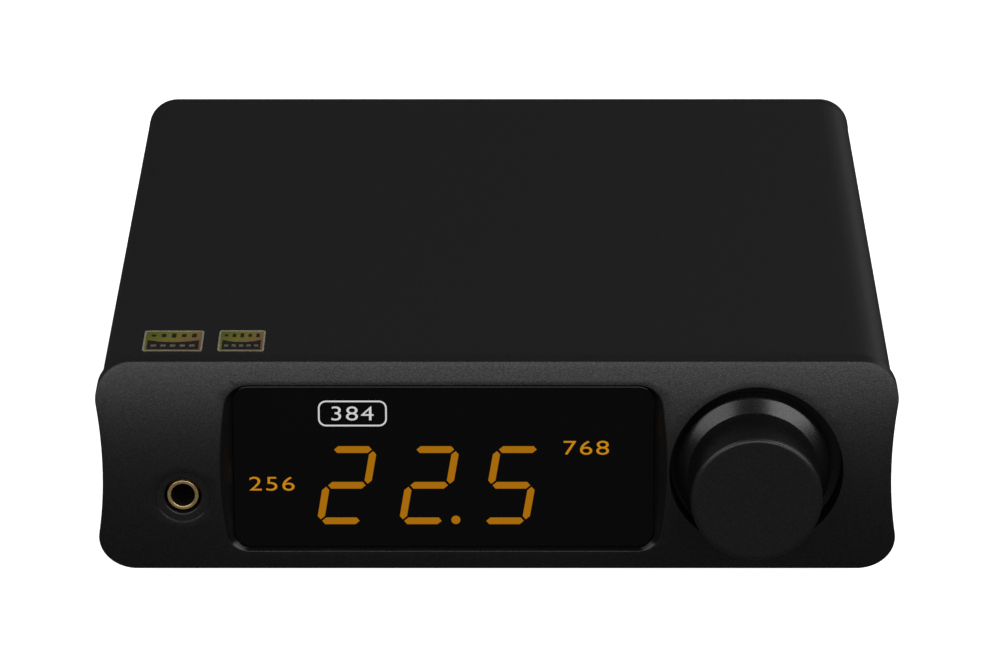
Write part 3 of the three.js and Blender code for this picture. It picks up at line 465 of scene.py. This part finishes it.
class Material:
    """A Principled material with helpers for procedural detail in object coordinates."""

    def __init__(self, name, color, roughness, metallic=0.0, **sockets):
        self.material = bpy.data.materials.new(name)
        self.material.use_nodes = True
        self.tree = self.material.node_tree
        self.shader = self.tree.nodes["Principled BSDF"]
        self.set("Base Color", (*color, 1.0))
        self.set("Roughness", roughness)
        self.set("Metallic", metallic)
        for socket, value in sockets.items():
            self.set(socket.replace("_", " "), value)

    def set(self, socket, value):
        self.shader.inputs[socket].default_value = value

    def node(self, kind, **settings):
        made = self.tree.nodes.new(kind)
        for key, value in settings.items():
            if key in made.inputs:
                made.inputs[key].default_value = value
            else:
                setattr(made, key, value)
        return made

    def link(self, source, target):
        self.tree.links.new(source, target)

    def noise(self, scale, detail=3.0, stretch=(1, 1, 1)):
        """A noise factor over object coordinates. The scale is in cells per metre."""
        place = self.node("ShaderNodeTexCoord")
        mapping = self.node("ShaderNodeMapping")
        mapping.inputs["Scale"].default_value = stretch
        noise = self.node("ShaderNodeTexNoise")
        noise.inputs["Scale"].default_value = scale
        noise.inputs["Detail"].default_value = detail
        self.link(place.outputs["Object"], mapping.inputs["Vector"])
        self.link(mapping.outputs["Vector"], noise.inputs["Vector"])
        return noise.outputs["Fac"]

    def spread(self, factor, low, high, socket):
        """Drives a number socket between two values."""
        ramp = self.node("ShaderNodeMapRange")
        ramp.inputs["From Min"].default_value = 0.3
        ramp.inputs["From Max"].default_value = 0.7
        ramp.inputs["To Min"].default_value = low
        ramp.inputs["To Max"].default_value = high
        self.link(factor, ramp.inputs["Value"])
        self.link(ramp.outputs["Result"], self.shader.inputs[socket])

    def tint(self, factor, dark, light):
        """Drives the base colour between two colours."""
        ramp = self.node("ShaderNodeValToRGB")
        ramp.color_ramp.elements[0].position = 0.3
        ramp.color_ramp.elements[0].color = (*dark, 1)
        ramp.color_ramp.elements[1].position = 0.7
        ramp.color_ramp.elements[1].color = (*light, 1)
        self.link(factor, ramp.inputs["Fac"])
        self.link(ramp.outputs["Color"], self.shader.inputs["Base Color"])

    def bump(self, height, strength, depth_mm):
        """Bump from a height factor; depth is the real height in millimetres."""
        node = self.node("ShaderNodeBump")
        node.inputs["Strength"].default_value = strength
        node.inputs["Distance"].default_value = depth_mm * MM
        self.link(height, node.inputs["Height"])
        self.link(node.outputs["Normal"], self.shader.inputs["Normal"])


def grey(value):
    return (value, value, value)


def floor_material():
    m = Material("studio_white", grey(0.86), 0.9)
    m.tint(m.noise(3.0), grey(0.85), grey(0.87))
    m.set("Specular IOR Level", 0.0)
    m.set("Emission Color", (1, 1, 1, 1))
    m.set("Emission Strength", FLOOR_GLOW)
    return m.material


def anodised(name, roughness, grain_mm, depth_mm, level, mottle, shine=0.5):
    """Bead-blasted black anodising: a fine grain that breaks up the sheen."""
    m = Material(name, grey(level), roughness)
    m.tint(m.noise(1 / (1.6 * grain_mm * MM), 3.0), grey(level * 0.75), grey(level * 1.3))
    m.spread(m.noise(1 / (0.9 * grain_mm * MM), 2.0), roughness - 0.04, roughness + 0.04, "Roughness")
    m.spread(m.noise(1 / (1.2 * grain_mm * MM), 2.0), shine - mottle, shine + mottle, "Specular IOR Level")
    m.bump(m.noise(1 / (grain_mm * MM), 2.0), 0.5, depth_mm)
    return m


def make_materials():
    """One material for each slot of the record, and the few that only the visual pieces use."""
    made = {}
    made["plate"] = anodised("anodised_plate", 0.38, 0.24, 0.032, 0.008, 0.13).material
    made["sleeve"] = anodised("anodised_sleeve", 0.5, 0.25, 0.02, 0.009, 0.06).material
    made["polished"] = anodised("anodised_polished", 0.22, 0.1, 0.002, 0.003, 0.03).material
    made["knob"] = anodised("anodised_knob", 0.33, 0.22, 0.012, 0.009, 0.06).material

    made["turned"] = anodised("anodised_turned", 0.27, 0.16, 0.006, 0.005, 0.15, 0.85).material

    window = Material("smoked_window", grey(0.0018), 0.06)
    window.spread(window.noise(90, 2.0), 0.05, 0.09, "Roughness")
    made["smoked_window"] = window.material

    amber = Material("display_amber", (0.01, 0.004, 0.0), 0.1)
    amber.set("Emission Color", (0.37, 0.14, 0.0016, 1))
    amber.set("Emission Strength", 1.0)
    amber.spread(amber.noise(400, 2.0), 0.08, 0.14, "Roughness")
    made["display_amber"] = amber.material

    legend = Material("legend_amber", (0.01, 0.004, 0.0), 0.1)
    legend.set("Emission Color", (0.55, 0.225, 0.004, 1))
    legend.set("Emission Strength", 1.0)
    legend.spread(legend.noise(400, 2.0), 0.08, 0.14, "Roughness")
    made["legend_amber"] = legend.material

    white = Material("legend_white", grey(0.02), 0.1)
    white.set("Emission Color", (*grey(0.6), 1))
    white.set("Emission Strength", 1.0)
    white.spread(white.noise(400, 2.0), 0.08, 0.14, "Roughness")
    made["legend_white"] = white.material

    for name, color, roughness in (
        ("black_plastic", grey(0.012), 0.42), ("white_plastic", (0.72, 0.71, 0.67), 0.38),
        ("red_plastic", (0.45, 0.02, 0.014), 0.36), ("orange_plastic", (0.6, 0.17, 0.012), 0.36),
    ):
        m = Material(name, color, roughness)
        m.tint(m.noise(600, 2.0), tuple(c * 0.9 for c in color), color)
        m.bump(m.noise(6000, 2.0), 0.3, 0.006)
        made[name] = m.material

    gold = Material("gold_plate", (0.86, 0.6, 0.24), 0.2, 1.0)
    gold.spread(gold.noise(900, 3.0), 0.16, 0.28, "Roughness")
    gold.tint(gold.noise(500, 2.0), (0.8, 0.54, 0.2), (0.9, 0.64, 0.27))
    made["gold_plate"] = gold.material

    ring = Material("gold_ring", (0.85, 0.6, 0.27), 0.22, 0.75)
    ring.spread(ring.noise(900, 3.0), 0.18, 0.28, "Roughness")
    ring.tint(ring.noise(500, 2.0), (0.8, 0.55, 0.24), (0.9, 0.65, 0.3))
    made["gold_ring"] = ring.material

    steel = Material("bright_steel", grey(0.55), 0.26, 1.0)
    steel.spread(steel.noise(1500, 3.0), 0.2, 0.34, "Roughness")
    made["bright_steel"] = steel.material

    black_steel = Material("black_steel", grey(0.012), 0.3, 0.4)
    black_steel.spread(black_steel.noise(2500, 3.0), 0.24, 0.38, "Roughness")
    made["black_steel"] = black_steel.material

    can = Material("can_aluminium", grey(0.45), 0.35, 1.0)
    can.spread(can.noise(1200, 3.0), 0.3, 0.42, "Roughness")
    made["can_aluminium"] = can.material

    board = Material("circuit_board", (0.01, 0.06, 0.03), 0.4)
    board.tint(board.noise(300, 4.0), (0.006, 0.045, 0.02), (0.014, 0.08, 0.04))
    made["circuit_board"] = board.material

    rubber = Material("foot_rubber", grey(0.012), 0.75)
    rubber.tint(rubber.noise(900, 3.0), grey(0.009), grey(0.016))
    rubber.bump(rubber.noise(3000, 3.0), 0.4, 0.02)
    made["foot_rubber"] = rubber.material

    made["label_foil"] = foil_material("label_foil", (
        (0.0, (0.17, 0.2, 0.02)), (0.35, (0.3, 0.27, 0.04)),
        (0.7, (0.34, 0.2, 0.07)), (1.0, (0.34, 0.09, 0.03)),
    ))
    rim = Material("label_rim", (0.5, 0.47, 0.36), 0.32, 0.4)
    rim.tint(rim.noise(900, 2.0), (0.4, 0.38, 0.28), (0.52, 0.5, 0.42))
    made["label_rim"] = rim.material
    marks = Material("label_marks", (0.16, 0.13, 0.09), 0.4)
    marks.tint(marks.noise(1500, 2.0), (0.12, 0.1, 0.07), (0.2, 0.17, 0.12))
    made["label_marks"] = marks.material
    ink = Material("label_ink", (0.012, 0.012, 0.014), 0.35)
    ink.tint(ink.noise(1500, 2.0), grey(0.008), grey(0.016))
    made["label_ink"] = ink.material
    return made


def foil_material(name, stops):
    """Foil whose colour runs through the stops from the rear left corner to the front right."""
    m = Material(name, stops[1][1], 0.3, 0.35)
    place = m.node("ShaderNodeTexCoord")
    turn = m.node("ShaderNodeMapping")
    turn.inputs["Rotation"].default_value = (0, 0, math.radians(30))
    turn.inputs["Scale"].default_value = (0.85, 0.85, 1)
    turn.inputs["Location"].default_value = (0.3, 0, 0)
    split = m.node("ShaderNodeSeparateXYZ")
    ramp = m.node("ShaderNodeValToRGB")
    elements = ramp.color_ramp.elements
    while len(elements) < len(stops):
        elements.new(0.5)
    for element, (position, color) in zip(elements, stops):
        element.position = position
        element.color = (*color, 1)
    m.link(place.outputs["Generated"], turn.inputs["Vector"])
    m.link(turn.outputs["Vector"], split.inputs["Vector"])
    m.link(split.outputs["X"], ramp.inputs["Fac"])
    m.link(ramp.outputs["Color"], m.shader.inputs["Base Color"])
    m.spread(m.noise(1500, 2.0), 0.25, 0.36, "Roughness")
    return m.material


# ------------------------------------------------------------------ front plate


def crown(h):
    """How far the crown falls back at height h."""
    return CROWN_R - math.sqrt(CROWN_R ** 2 - h ** 2)


def plate_outline(inset):
    """The plate's outline, moved in by inset: rounded corners and sides that draw in at half height."""
    corner_x = PLATE_HALF_W - PLATE_CORNER
    corner_h = PLATE_HALF_H - PLATE_CORNER
    waist_x = PLATE_HALF_W - PLATE_WAIST
    reach = waist_x - corner_x
    waist_r = (reach ** 2 + corner_h ** 2 - PLATE_CORNER ** 2) / (2 * (PLATE_CORNER - reach))
    tilt = math.atan2(corner_h, waist_x + waist_r - corner_x)
    corner_r = PLATE_CORNER - inset
    right = []
    for i in range(25):
        a = -tilt + (math.pi / 2 + tilt) * i / 24
        right.append((corner_x + corner_r * math.cos(a), corner_h + corner_r * math.sin(a)))
    waist = []
    for i in range(1, 24):
        a = math.pi + tilt - 2 * tilt * i / 24
        waist.append((waist_x + waist_r + (waist_r + inset) * math.cos(a), (waist_r + inset) * math.sin(a)))
    top = [(corner_x - 2 * corner_x * i / 28, PLATE_HALF_H - inset) for i in range(1, 28)]
    side = [(x, -h) for x, h in reversed(right)] + waist + right
    left = [(-x, -h) for x, h in side]
    return side + top + left + [(-x, -h) for x, h in top]


def add_front_plate(material, polished):
    """The crowned plate: rounded edges, sloped window walls, the knob's recess and the jack's spot-face."""
    shell = Shell()
    edge = PLATE_EDGE

    def crown_ring(loop, sink=0.0):
        return [(x, crown(h) + sink, h) for x, h in loop]

    def flat_ring(loop, y):
        return [(x, y, h) for x, h in loop]

    outer = plate_outline(edge)
    rings = []
    for k in range(6):
        a = math.pi / 2 * k / 5
        rings.append(crown_ring(plate_outline(edge * (1 - math.sin(a))), edge * (1 - math.cos(a))))
    rim = plate_outline(0)
    rings += [crown_ring(rim, 2 * edge), flat_ring(rim, PLATE_BACK - 0.5), flat_ring(rim, PLATE_BACK - 0.2),
              flat_ring(plate_outline(0.2), PLATE_BACK)]
    shell.strip(rings)

    base = window_base()
    mouth, lip_rings, wall_rings = window_rings(base)
    shell.strip(lip_rings)
    shell.paint = 1
    shell.strip(wall_rings)
    shell.paint = 0
    seat = [window_point(b, LENS_SEAT, LENS_SEAT) for b in base]
    shell.strip([wall_rings[-1], flat_ring(seat, LENS_STEP - 0.3), flat_ring(seat, PLATE_BACK)])
    recess = bore_rings(RECESS_X, 0, RECESS_R, RECESS_FLOOR, BUSHING_HOLE_R, 128, 0.1)
    shell.strip(recess)
    jack = jack_rings()
    shell.strip(jack)

    holes = [[(x, h) for x, _, h in ring] for ring in (mouth, recess[0], jack[0])]
    shell.sheet(outer, holes, lambda u, v: (u, crown(v), v), step=0.9, squeeze=2.2)
    holes = [seat] + [[(x, h) for x, _, h in ring] for ring in (recess[-1], jack[-1])]
    shell.sheet(plate_outline(0.2), holes, lambda u, v: (u, PLATE_BACK, v))
    piece = shell.build("front_panel", material, sharp=30, second=polished)
    place_piece(piece, "root", "anodised_black", "front_plate")


def window_base():
    """Corner centres and directions round the window's opening, anticlockwise from +x."""
    half_x = WINDOW_W / 2 - WINDOW_R
    half_h = WINDOW_H / 2 - WINDOW_R
    corners = [(1, 1), (-1, 1), (-1, -1), (1, -1)]
    base = []
    for quarter, (sx, sh) in enumerate(corners):
        for i in range(13):
            a = (quarter + i / 12) * math.pi / 2
            base.append((sx * half_x, sh * half_h, math.cos(a), math.sin(a)))
        nx, nh = corners[(quarter + 1) % 4]
        steps = 36 if quarter % 2 == 0 else 16
        for i in range(1, steps):
            t = i / steps
            x = half_x * (sx + (nx - sx) * t)
            h = half_h * (sh + (nh - sh) * t)
            base.append((x, h, math.cos(a), math.sin(a)))
    return base


def window_point(base, out_x, out_h):
    """A point of the opening's outline, moved outward by out_x and out_h."""
    x, h, cos_a, sin_a = base
    return (WINDOW_X + x + (WINDOW_R + out_x) * cos_a, WINDOW_MID + h + (WINDOW_R + out_h) * sin_a)


def window_rings(base):
    """The rounded lip where the walls meet the crown, and the walls down to the lens's step."""
    def at(b, depth):
        return window_point(b, depth * WINDOW_SPREAD, depth * WINDOW_RISE)

    heights = []
    for b in base:
        d = 0.0
        for _ in range(12):
            d = WINDOW_DEPTH - crown(at(b, d)[1])
        heights.append(d)

    def on_crown(extra, sink):
        ring = []
        for b, d in zip(base, heights):
            x, h = window_point(b, d * WINDOW_SPREAD + extra, d * WINDOW_RISE + extra)
            ring.append((x, crown(h) + sink, h))
        return ring

    def on_wall(drop):
        ring = []
        for b, d in zip(base, heights):
            x, h = at(b, d - drop)
            ring.append((x, WINDOW_DEPTH - d + drop, h))
        return ring

    def level(depth, y):
        return [(x, y, h) for x, h in (at(b, depth) for b in base)]

    lip = [on_crown(0.09, 0.0), on_crown(0.045, 0.012), on_crown(0.0, 0.04), on_wall(0.1)]
    wall = [lip[-1], level(0.12, WINDOW_DEPTH - 0.12), level(0, WINDOW_DEPTH), level(0, LENS_STEP - 0.3)]
    return lip[0], lip, wall


def bore_rings(x, h, radius, floor, hole, count, edge):
    """A counterbore from the crown: rounded rim, wall, flat floor and a smaller hole to the back."""
    def ring(r, sink=None, y=None):
        return [(px, y if y is not None else crown(ph) + sink, ph) for px, ph in circle(x, h, r, count)]
    return [
        ring(radius + edge, sink=0.0), ring(radius + 0.45 * edge, sink=0.12 * edge),
        ring(radius + 0.12 * edge, sink=0.45 * edge), ring(radius, sink=edge), ring(radius, sink=2 * edge),
        ring(radius, y=floor - 0.3), ring(radius - 0.1, y=floor - 0.1), ring(radius - 0.3, y=floor),
        ring(hole + 0.2, y=floor), ring(hole, y=floor + 0.2), ring(hole, y=PLATE_BACK),
    ]


def jack_rings():
    """The jack's shallow spot-face, the rounded edge of its hole and the hole itself."""
    edge = 0.1
    lip = 0.22

    def ring(r, sink=None, y=None):
        return [(px, y if y is not None else crown(ph) + sink, ph)
                for px, ph in circle(JACK_X, JACK_H, r, 72)]
    rings = [
        ring(JACK_SPOT_R + edge, sink=0.0), ring(JACK_SPOT_R + 0.3 * edge, sink=0.3 * edge),
        ring(JACK_SPOT_R, sink=edge), ring(JACK_SPOT_R, y=JACK_SPOT_FLOOR - 0.06),
        ring(JACK_SPOT_R - 0.08, y=JACK_SPOT_FLOOR), ring(JACK_HOLE_R + lip + 0.12, y=JACK_SPOT_FLOOR),
    ]
    for r, y in arc(JACK_HOLE_R + lip, JACK_SPOT_FLOOR + lip, lip, 270, 180, 6):
        rings.append(ring(r, y=y))
    rings += [ring(JACK_HOLE_R, y=JACK_SPOT_FLOOR + lip + 0.3), ring(JACK_HOLE_R, y=PLATE_BACK)]
    return rings


# ------------------------------------------------------------------ case


def sleeve_points(grow):
    """Points (x, h) of the sleeve's outline, moved outward by grow."""
    width = 2 * (SLEEVE_HALF_W + grow)
    height = 2 * (SLEEVE_HALF_H + grow)
    return [p for p, _ in rounded_rect(width, height, SLEEVE_R + grow, 16, 2.5)]


def sleeve_profile(grow):
    """Walks round the sleeve's outline; returns (length so far, x, h) rows, closed by its last row."""
    walked = []
    length = 0.0
    points = sleeve_points(grow)
    for i, p in enumerate(points):
        walked.append((length, *p))
        length += math.dist(p, points[(i + 1) % len(points)])
    walked.append((length, *points[0]))
    return walked


def along(walked, u):
    """Point of the outline at length u."""
    for (u0, x0, h0), (u1, x1, h1) in zip(walked, walked[1:]):
        if u <= u1 + 1e-6:
            t = (u - u0) / (u1 - u0) if u1 > u0 else 0
            return x0 + (x1 - x0) * t, h0 + (h1 - h0) * t
    return walked[-1][1:]


def add_sleeve(material, screws):
    """Outer skin with two countersunk holes below, chamfered rims, and the inner skin."""
    shell = Shell()
    rim = SLEEVE_RIM
    wall = -SLEEVE_WALL
    front = sleeve_low.y
    back = sleeve_high.y

    def loop(grow, y):
        return [(x, y, h) for x, h in sleeve_points(grow)]

    def wrapped(walked):
        """Lays (length round the outline, y) on the outline."""
        def place(u, v):
            x, h = along(walked, u)
            return (x, v, h)
        return place

    def screw_holes(walked, bottom_h, radius):
        """The screws' circles as (length round the outline, y)."""
        u_start, x_start = [(u, x) for u, x, h in walked if abs(h - bottom_h) < 1e-6][0]
        return [circle(u_start + (x - x_start), y, radius, 40) for x, y in screws]

    outer_walk = sleeve_profile(0.0)
    stations = [u for u, _, _ in outer_walk]
    depth = back - front - 2 * rim
    steps = 30
    outline = [(u, front + rim) for u in stations]
    outline += [(stations[-1], front + rim + depth * k / steps) for k in range(1, steps)]
    outline += [(u, back - rim) for u in reversed(stations)]
    outline += [(0.0, back - rim - depth * k / steps) for k in range(1, steps)]
    for x, y in screws:
        seat = ((SCREW_HEAD_R, 0), (SCREW_HEAD_R - 0.1, 0.1),
                (SCREW_HOLE_R, SCREW_SEAT), (SCREW_HOLE_R, SLEEVE_WALL))
        shell.strip([[(px, py, -SLEEVE_HALF_H + sink) for px, py in circle(x, y, r, 40)]
                     for r, sink in seat])
    holes = screw_holes(outer_walk, -SLEEVE_HALF_H, SCREW_HEAD_R)
    shell.sheet(outline, holes, wrapped(outer_walk), step=2.0)
    shell.strip([loop(0, front + rim), loop(-0.08, front + 0.08), loop(-rim, front), loop(wall + 0.1, front),
                 loop(wall, front + 0.1)])
    shell.strip([loop(0, back - rim), loop(-0.08, back - 0.08), loop(-rim, back), loop(wall, back)])

    inner_walk = sleeve_profile(wall)
    inner_stations = [u for u, _, _ in inner_walk]
    skin = [(u, front + 0.1) for u in inner_stations] + [(u, back) for u in reversed(inner_stations)]
    inner_holes = screw_holes(inner_walk, -SLEEVE_HALF_H - wall, SCREW_HOLE_R)
    shell.sheet(skin, inner_holes, wrapped(inner_walk))
    piece = shell.build("case_shell", material, sharp=30)
    place_piece(piece, "root", "anodised_black", "case_sleeve")


# ------------------------------------------------------------------ knob, jack, window


def add_knob(material, turned_material):
    """The knob: rounded front edge, cylinder, 45 degree skirt and the hollow behind, with its shaft hole."""
    shoulder = SKIRT_FRONT - (SKIRT_R - KNOB_R)
    e = KNOB_EDGE
    profile = [(0, KNOB_FRONT), (KNOB_R - 1.6 * e, KNOB_FRONT)]
    profile += arc(KNOB_R - e, KNOB_FRONT + e, e, 270, 360, 10)
    first_side = len(profile) - 1
    profile += [(KNOB_R, KNOB_FRONT + 1.6 * e), (KNOB_R, shoulder - 0.5)]
    profile += [(KNOB_R, shoulder - 0.06), (KNOB_R + 0.06, shoulder + 0.04)]
    profile += [(SKIRT_R - 0.18, SKIRT_FRONT - 0.2), (SKIRT_R - 0.05, SKIRT_FRONT - 0.03)]
    profile += [(SKIRT_R, SKIRT_FRONT + 0.12), (SKIRT_R, KNOB_BACK - 0.15), (SKIRT_R - 0.15, KNOB_BACK)]
    profile += [(KNOB_HOLLOW_R + 0.15, KNOB_BACK), (KNOB_HOLLOW_R, KNOB_BACK - 0.15)]
    profile += [(KNOB_HOLLOW_R, KNOB_HOLLOW_FLOOR + 0.1), (KNOB_HOLLOW_R - 0.1, KNOB_HOLLOW_FLOOR)]
    profile += [(SHAFT_HOLE_R, KNOB_HOLLOW_FLOOR), (SHAFT_HOLE_R, SHAFT_HOLE_FLOOR), (0, SHAFT_HOLE_FLOOR)]
    sides = range(first_side, len(profile))
    knob = turned("volume_knob", KNOB_X, KNOB_H, profile, material, 160, 30, turned_material, sides)
    place_piece(knob, "knob", "anodised_black", "knob")


def add_jack(materials):
    """The gold collar of the jack, rounded at the front; its bore and back face take black plastic as
    painted shade for the shadow inside the collar.
    """
    r0, r1 = JACK_BORE_R, JACK_RING_R
    e = JACK_RING_EDGE
    profile = [(r0, JACK_RING_BACK), (r0, JACK_RING_FRONT + 2 * e)]
    profile += arc(r0 + e, JACK_RING_FRONT + e, e, 180, 270, 5)
    profile += arc(r1 - e, JACK_RING_FRONT + e, e, 270, 360, 5)
    profile += [(r1, JACK_RING_FRONT + 2 * e), (r1, JACK_RING_BACK), (r0, JACK_RING_BACK)]
    # The bore and back stretches take the second material, black plastic, as painted shade where the
    # collar's inside falls in shadow.
    ring = turned("jack_collar", JACK_X, JACK_H, profile, materials["gold_ring"], 72,
                  second=materials["black_plastic"], painted=(0, len(profile) - 2))
    place_piece(ring, "root", "gold_plate", "jack_ring")


def add_lens(materials):
    """The stepped lens, with a small rounded edge round its face."""
    shell = Shell()
    base = window_base()
    gap = LENS_GAP

    def loop(offset, y):
        return [(x, y, h) for x, h in (window_point(b, offset, offset) for b in base)]

    face = loop(-gap - 0.12, WINDOW_DEPTH)
    shell.sheet([(x, h) for x, _, h in face], [], lambda u, v: (u, WINDOW_DEPTH, v))
    back = loop(LENS_LIP, LENS_BACK)
    shell.strip([face, loop(-gap - 0.03, WINDOW_DEPTH + 0.03), loop(-gap, WINDOW_DEPTH + 0.12),
                 loop(-gap, LENS_STEP), loop(LENS_LIP, LENS_STEP), back])
    shell.sheet([(x, h) for x, _, h in back], [], lambda u, v: (u, LENS_BACK, v))
    lens = shell.build("window_glass", materials["smoked_window"], sharp=25)
    place_piece(lens, "root", "smoked_window", "window_lens")


# ------------------------------------------------------------------ display

DIGIT_H = 12.7
DIGIT_W = 7.23
DIGIT_PITCH = 12.37
DIGIT_FIRST_X = -22.57
DIGIT_MID_H = -3.15
DIGIT_STROKE = 1.08
DIGIT_SLANT = 0.166
DIGIT_GAP = 0.5
LIT_RAISE = 0.02
LIT_BACK = 0.05
DIGITS = "225"
LIT_BARS = {"2": "abged", "5": "afgcd"}
POINT_X = -6.2
POINT_H = -8.8
POINT_R = 0.68

# Legends, mm: the box round the first, and each one's figures, middle, width and height
FRAME_W = 10.3
FRAME_H = 4.15
FRAME_R = 1.2
FRAME_STROKE = 0.25
BOXED_X = -21.62
BOXED_H = 8.5
LEGENDS = (
    ("legend_boxed", "384", BOXED_X, BOXED_H, 6.3, 2.25, "legend_white", "legend_white"),
    ("legend_left", "256", -33.85, -2.9, 6.8, 2.25, "legend_amber", "display_amber"),
    ("legend_right", "768", 13.4, 2.95, 6.8, 2.25, "legend_amber", "display_amber"),
)


def bar_outlines():
    """The seven bars of a digit about its centre, by their usual letters."""
    side_x = (DIGIT_W - DIGIT_STROKE) / 2
    top_h = (DIGIT_H - DIGIT_STROKE) / 2
    across = DIGIT_W - DIGIT_STROKE - DIGIT_GAP
    upright = top_h - DIGIT_GAP
    bars = {
        "a": (0, top_h, across, False), "g": (0, 0, across, False), "d": (0, -top_h, across, False),
        "f": (-side_x, top_h / 2, upright, True), "b": (side_x, top_h / 2, upright, True),
        "e": (-side_x, -top_h / 2, upright, True), "c": (side_x, -top_h / 2, upright, True),
    }
    outlines = {}
    for letter, (x, h, length, is_upright) in bars.items():
        half = length / 2
        tip = DIGIT_STROKE / 2
        shape = [(-half, 0), (tip - half, tip), (half - tip, tip)]
        shape += [(-a, -b) for a, b in shape]
        if is_upright:
            shape = [(b, a) for a, b in shape]
        outlines[letter] = [(x + a + DIGIT_SLANT * (h + b), h + b) for a, b in shape]
    return outlines


def add_display(materials):
    """The lit bars of the digits, the decimal point and the three legends, a hair proud of the lens."""
    front = WINDOW_DEPTH - LIT_RAISE
    back = WINDOW_DEPTH + LIT_BACK
    outlines = bar_outlines()
    for place, figure in enumerate(DIGITS):
        x = DIGIT_FIRST_X + place * DIGIT_PITCH
        for letter in LIT_BARS[figure]:
            loop = [(x + a, DIGIT_MID_H + b) for a, b in outlines[letter]]
            bar_name = f"digit_{place + 1}_bar_{letter}"
            bar = plaque(bar_name, [[loop]], front, back, materials["display_amber"])
            place_piece(bar, "root", "display_amber")
    dot = circle(POINT_X, POINT_H, POINT_R, 32)
    point = plaque("decimal_point", [[dot]], front, back, materials["display_amber"])
    place_piece(point, "root", "display_amber")

    loops = []
    for inset in (0, FRAME_STROKE):
        outline = rounded_rect(FRAME_W - 2 * inset, FRAME_H - 2 * inset, FRAME_R - inset, 8)
        loops.append([(BOXED_X + x, BOXED_H + h) for (x, h), _ in outline])
    ring = plaque("legend_frame", [loops], front, back, materials["legend_white"])
    place_piece(ring, "root", "legend_white")
    for name, figures, x, h, width, height, look, slot in LEGENDS:
        add_figures(name, figures, x, h, width, height, front, materials[look], slot)


def add_figures(name, text, x, h, width, height, y_front, material, slot):
    """Plain figures, fitted into a width and height about (x, h) on the lens."""
    curve = bpy.data.curves.new(name, "FONT")
    curve.body = text
    curve.extrude = 0.5 * (LIT_RAISE + LIT_BACK)
    curve.offset = -0.005
    curve.space_character = 1.12
    holder = bpy.data.objects.new(name, curve)
    bpy.context.scene.collection.objects.link(holder)
    bpy.context.view_layer.update()
    mesh = bpy.data.meshes.new_from_object(holder.evaluated_get(bpy.context.evaluated_depsgraph_get()))
    bpy.data.objects.remove(holder)
    xs = [v.co.x for v in mesh.vertices]
    ys = [v.co.y for v in mesh.vertices]
    scale_x = width / (max(xs) - min(xs))
    scale_h = height / (max(ys) - min(ys))
    mid_x = (max(xs) + min(xs)) / 2
    mid_y = (max(ys) + min(ys)) / 2
    for v in mesh.vertices:
        depth = y_front + 0.5 * (LIT_RAISE + LIT_BACK) - v.co.z
        v.co = spot(x + (v.co.x - mid_x) * scale_x, depth, h + (v.co.y - mid_y) * scale_h)
    mesh.materials.clear()
    bm = bmesh.new()
    bm.from_mesh(mesh)
    bmesh.ops.remove_doubles(bm, verts=bm.verts, dist=1e-8)
    bmesh.ops.recalc_face_normals(bm, faces=bm.faces)
    bm.to_mesh(mesh)
    bm.free()
    piece = finish_mesh(name, mesh, material)
    place_piece(piece, "root", slot)


# ------------------------------------------------------------------ badges

BADGE_RIM = 0.28
BADGE_CORNER = 0.55
BADGE_SINK = 0.03


def add_badge(name, tag, materials):
    """A foil badge: light rim, coloured face, a dark panel with a sagging top edge, and plain marks."""
    low, high = face_box(name)
    w = high.x - low.x
    d = high.y - low.y
    mid = ((low.x + high.x) / 2, (low.y + high.y) / 2)

    def loop(inset):
        outline = rounded_rect(w - 2 * inset, d - 2 * inset, BADGE_CORNER - inset, 6)
        return [(mid[0] + p[0], mid[1] + p[1]) for p, _ in outline]

    def strip_mark(x, y, width, depth):
        corners = ((-1, -1), (1, -1), (1, 1), (-1, 1))
        return [[(low.x + x + sx * width / 2, low.y + y + sy * depth / 2) for sx, sy in corners]]

    def layer(part, outlines, near, far, look, *nodes):
        piece = plaque(f"{tag}_{part}", outlines, near, far, materials[look], lying=True)
        place_piece(piece, "root", "label_foil", *nodes)

    top = high.z
    layer("face", [[loop(0)]], low.z, top - BADGE_SINK, "label_foil", name)
    layer("rim", [[loop(0), loop(BADGE_RIM)]], low.z, top, "label_rim")

    ink_low = top - 1.2 * BADGE_SINK
    ink_high = top - 0.3 * BADGE_SINK
    side = 0.6
    bottom = 0.75
    shoulder = 0.54 * d
    sag = 0.1 * d
    panel = [(low.x + side, low.y + bottom), (high.x - side, low.y + bottom)]
    for i in range(17):
        t = 1 - 2 * i / 16
        panel.append((mid[0] + t * (w / 2 - side), low.y + shoulder - sag * (1 - t * t)))
    layer("panel", [[panel]], ink_low, ink_high, "label_ink")

    bars = [strip_mark(w * (0.16 + 0.17 * k), 0.76 * d, 0.075 * w, d * size)
            for k, size in enumerate((0.1, 0.16, 0.2, 0.14, 0.18))]
    layer("bars", bars, ink_low, ink_high, "label_ink")
    dashes = [strip_mark(w * (0.18 + 0.16 * k), 0.27 * d, 0.09 * w, 0.1 * d) for k in range(5)]
    layer("dashes", dashes, top - BADGE_SINK, top, "label_marks")


# ------------------------------------------------------------------ the scene

materials = make_materials()
add_camera()
add_floor()
add_world()
for name, *light in SOFTBOXES:
    add_softbox(name, *light)
bpy.context.scene.view_settings.view_transform = "Standard"

NODE_LOOKS = {"anodised_black": "sleeve"}
for row in frame["record"]["subparts"]:
    node = frame["nodes"][row["node"]]
    look = materials[NODE_LOOKS.get(row["material_slot"], row["material_slot"])]
    node.data.materials.clear()
    node.data.materials.append(look)

add_front_plate(materials["plate"], materials["polished"])
screw_boxes = [face_box(name) for name in ("front_screw_left", "front_screw_right")]
add_sleeve(materials["sleeve"], [((low.x + high.x) / 2, (low.y + high.y) / 2) for low, high in screw_boxes])
add_knob(materials["knob"], materials["turned"])
add_jack(materials)
add_lens(materials)
add_display(materials)
add_badge("label_left", "badge_left", materials)
add_badge("label_right", "badge_right", materials)
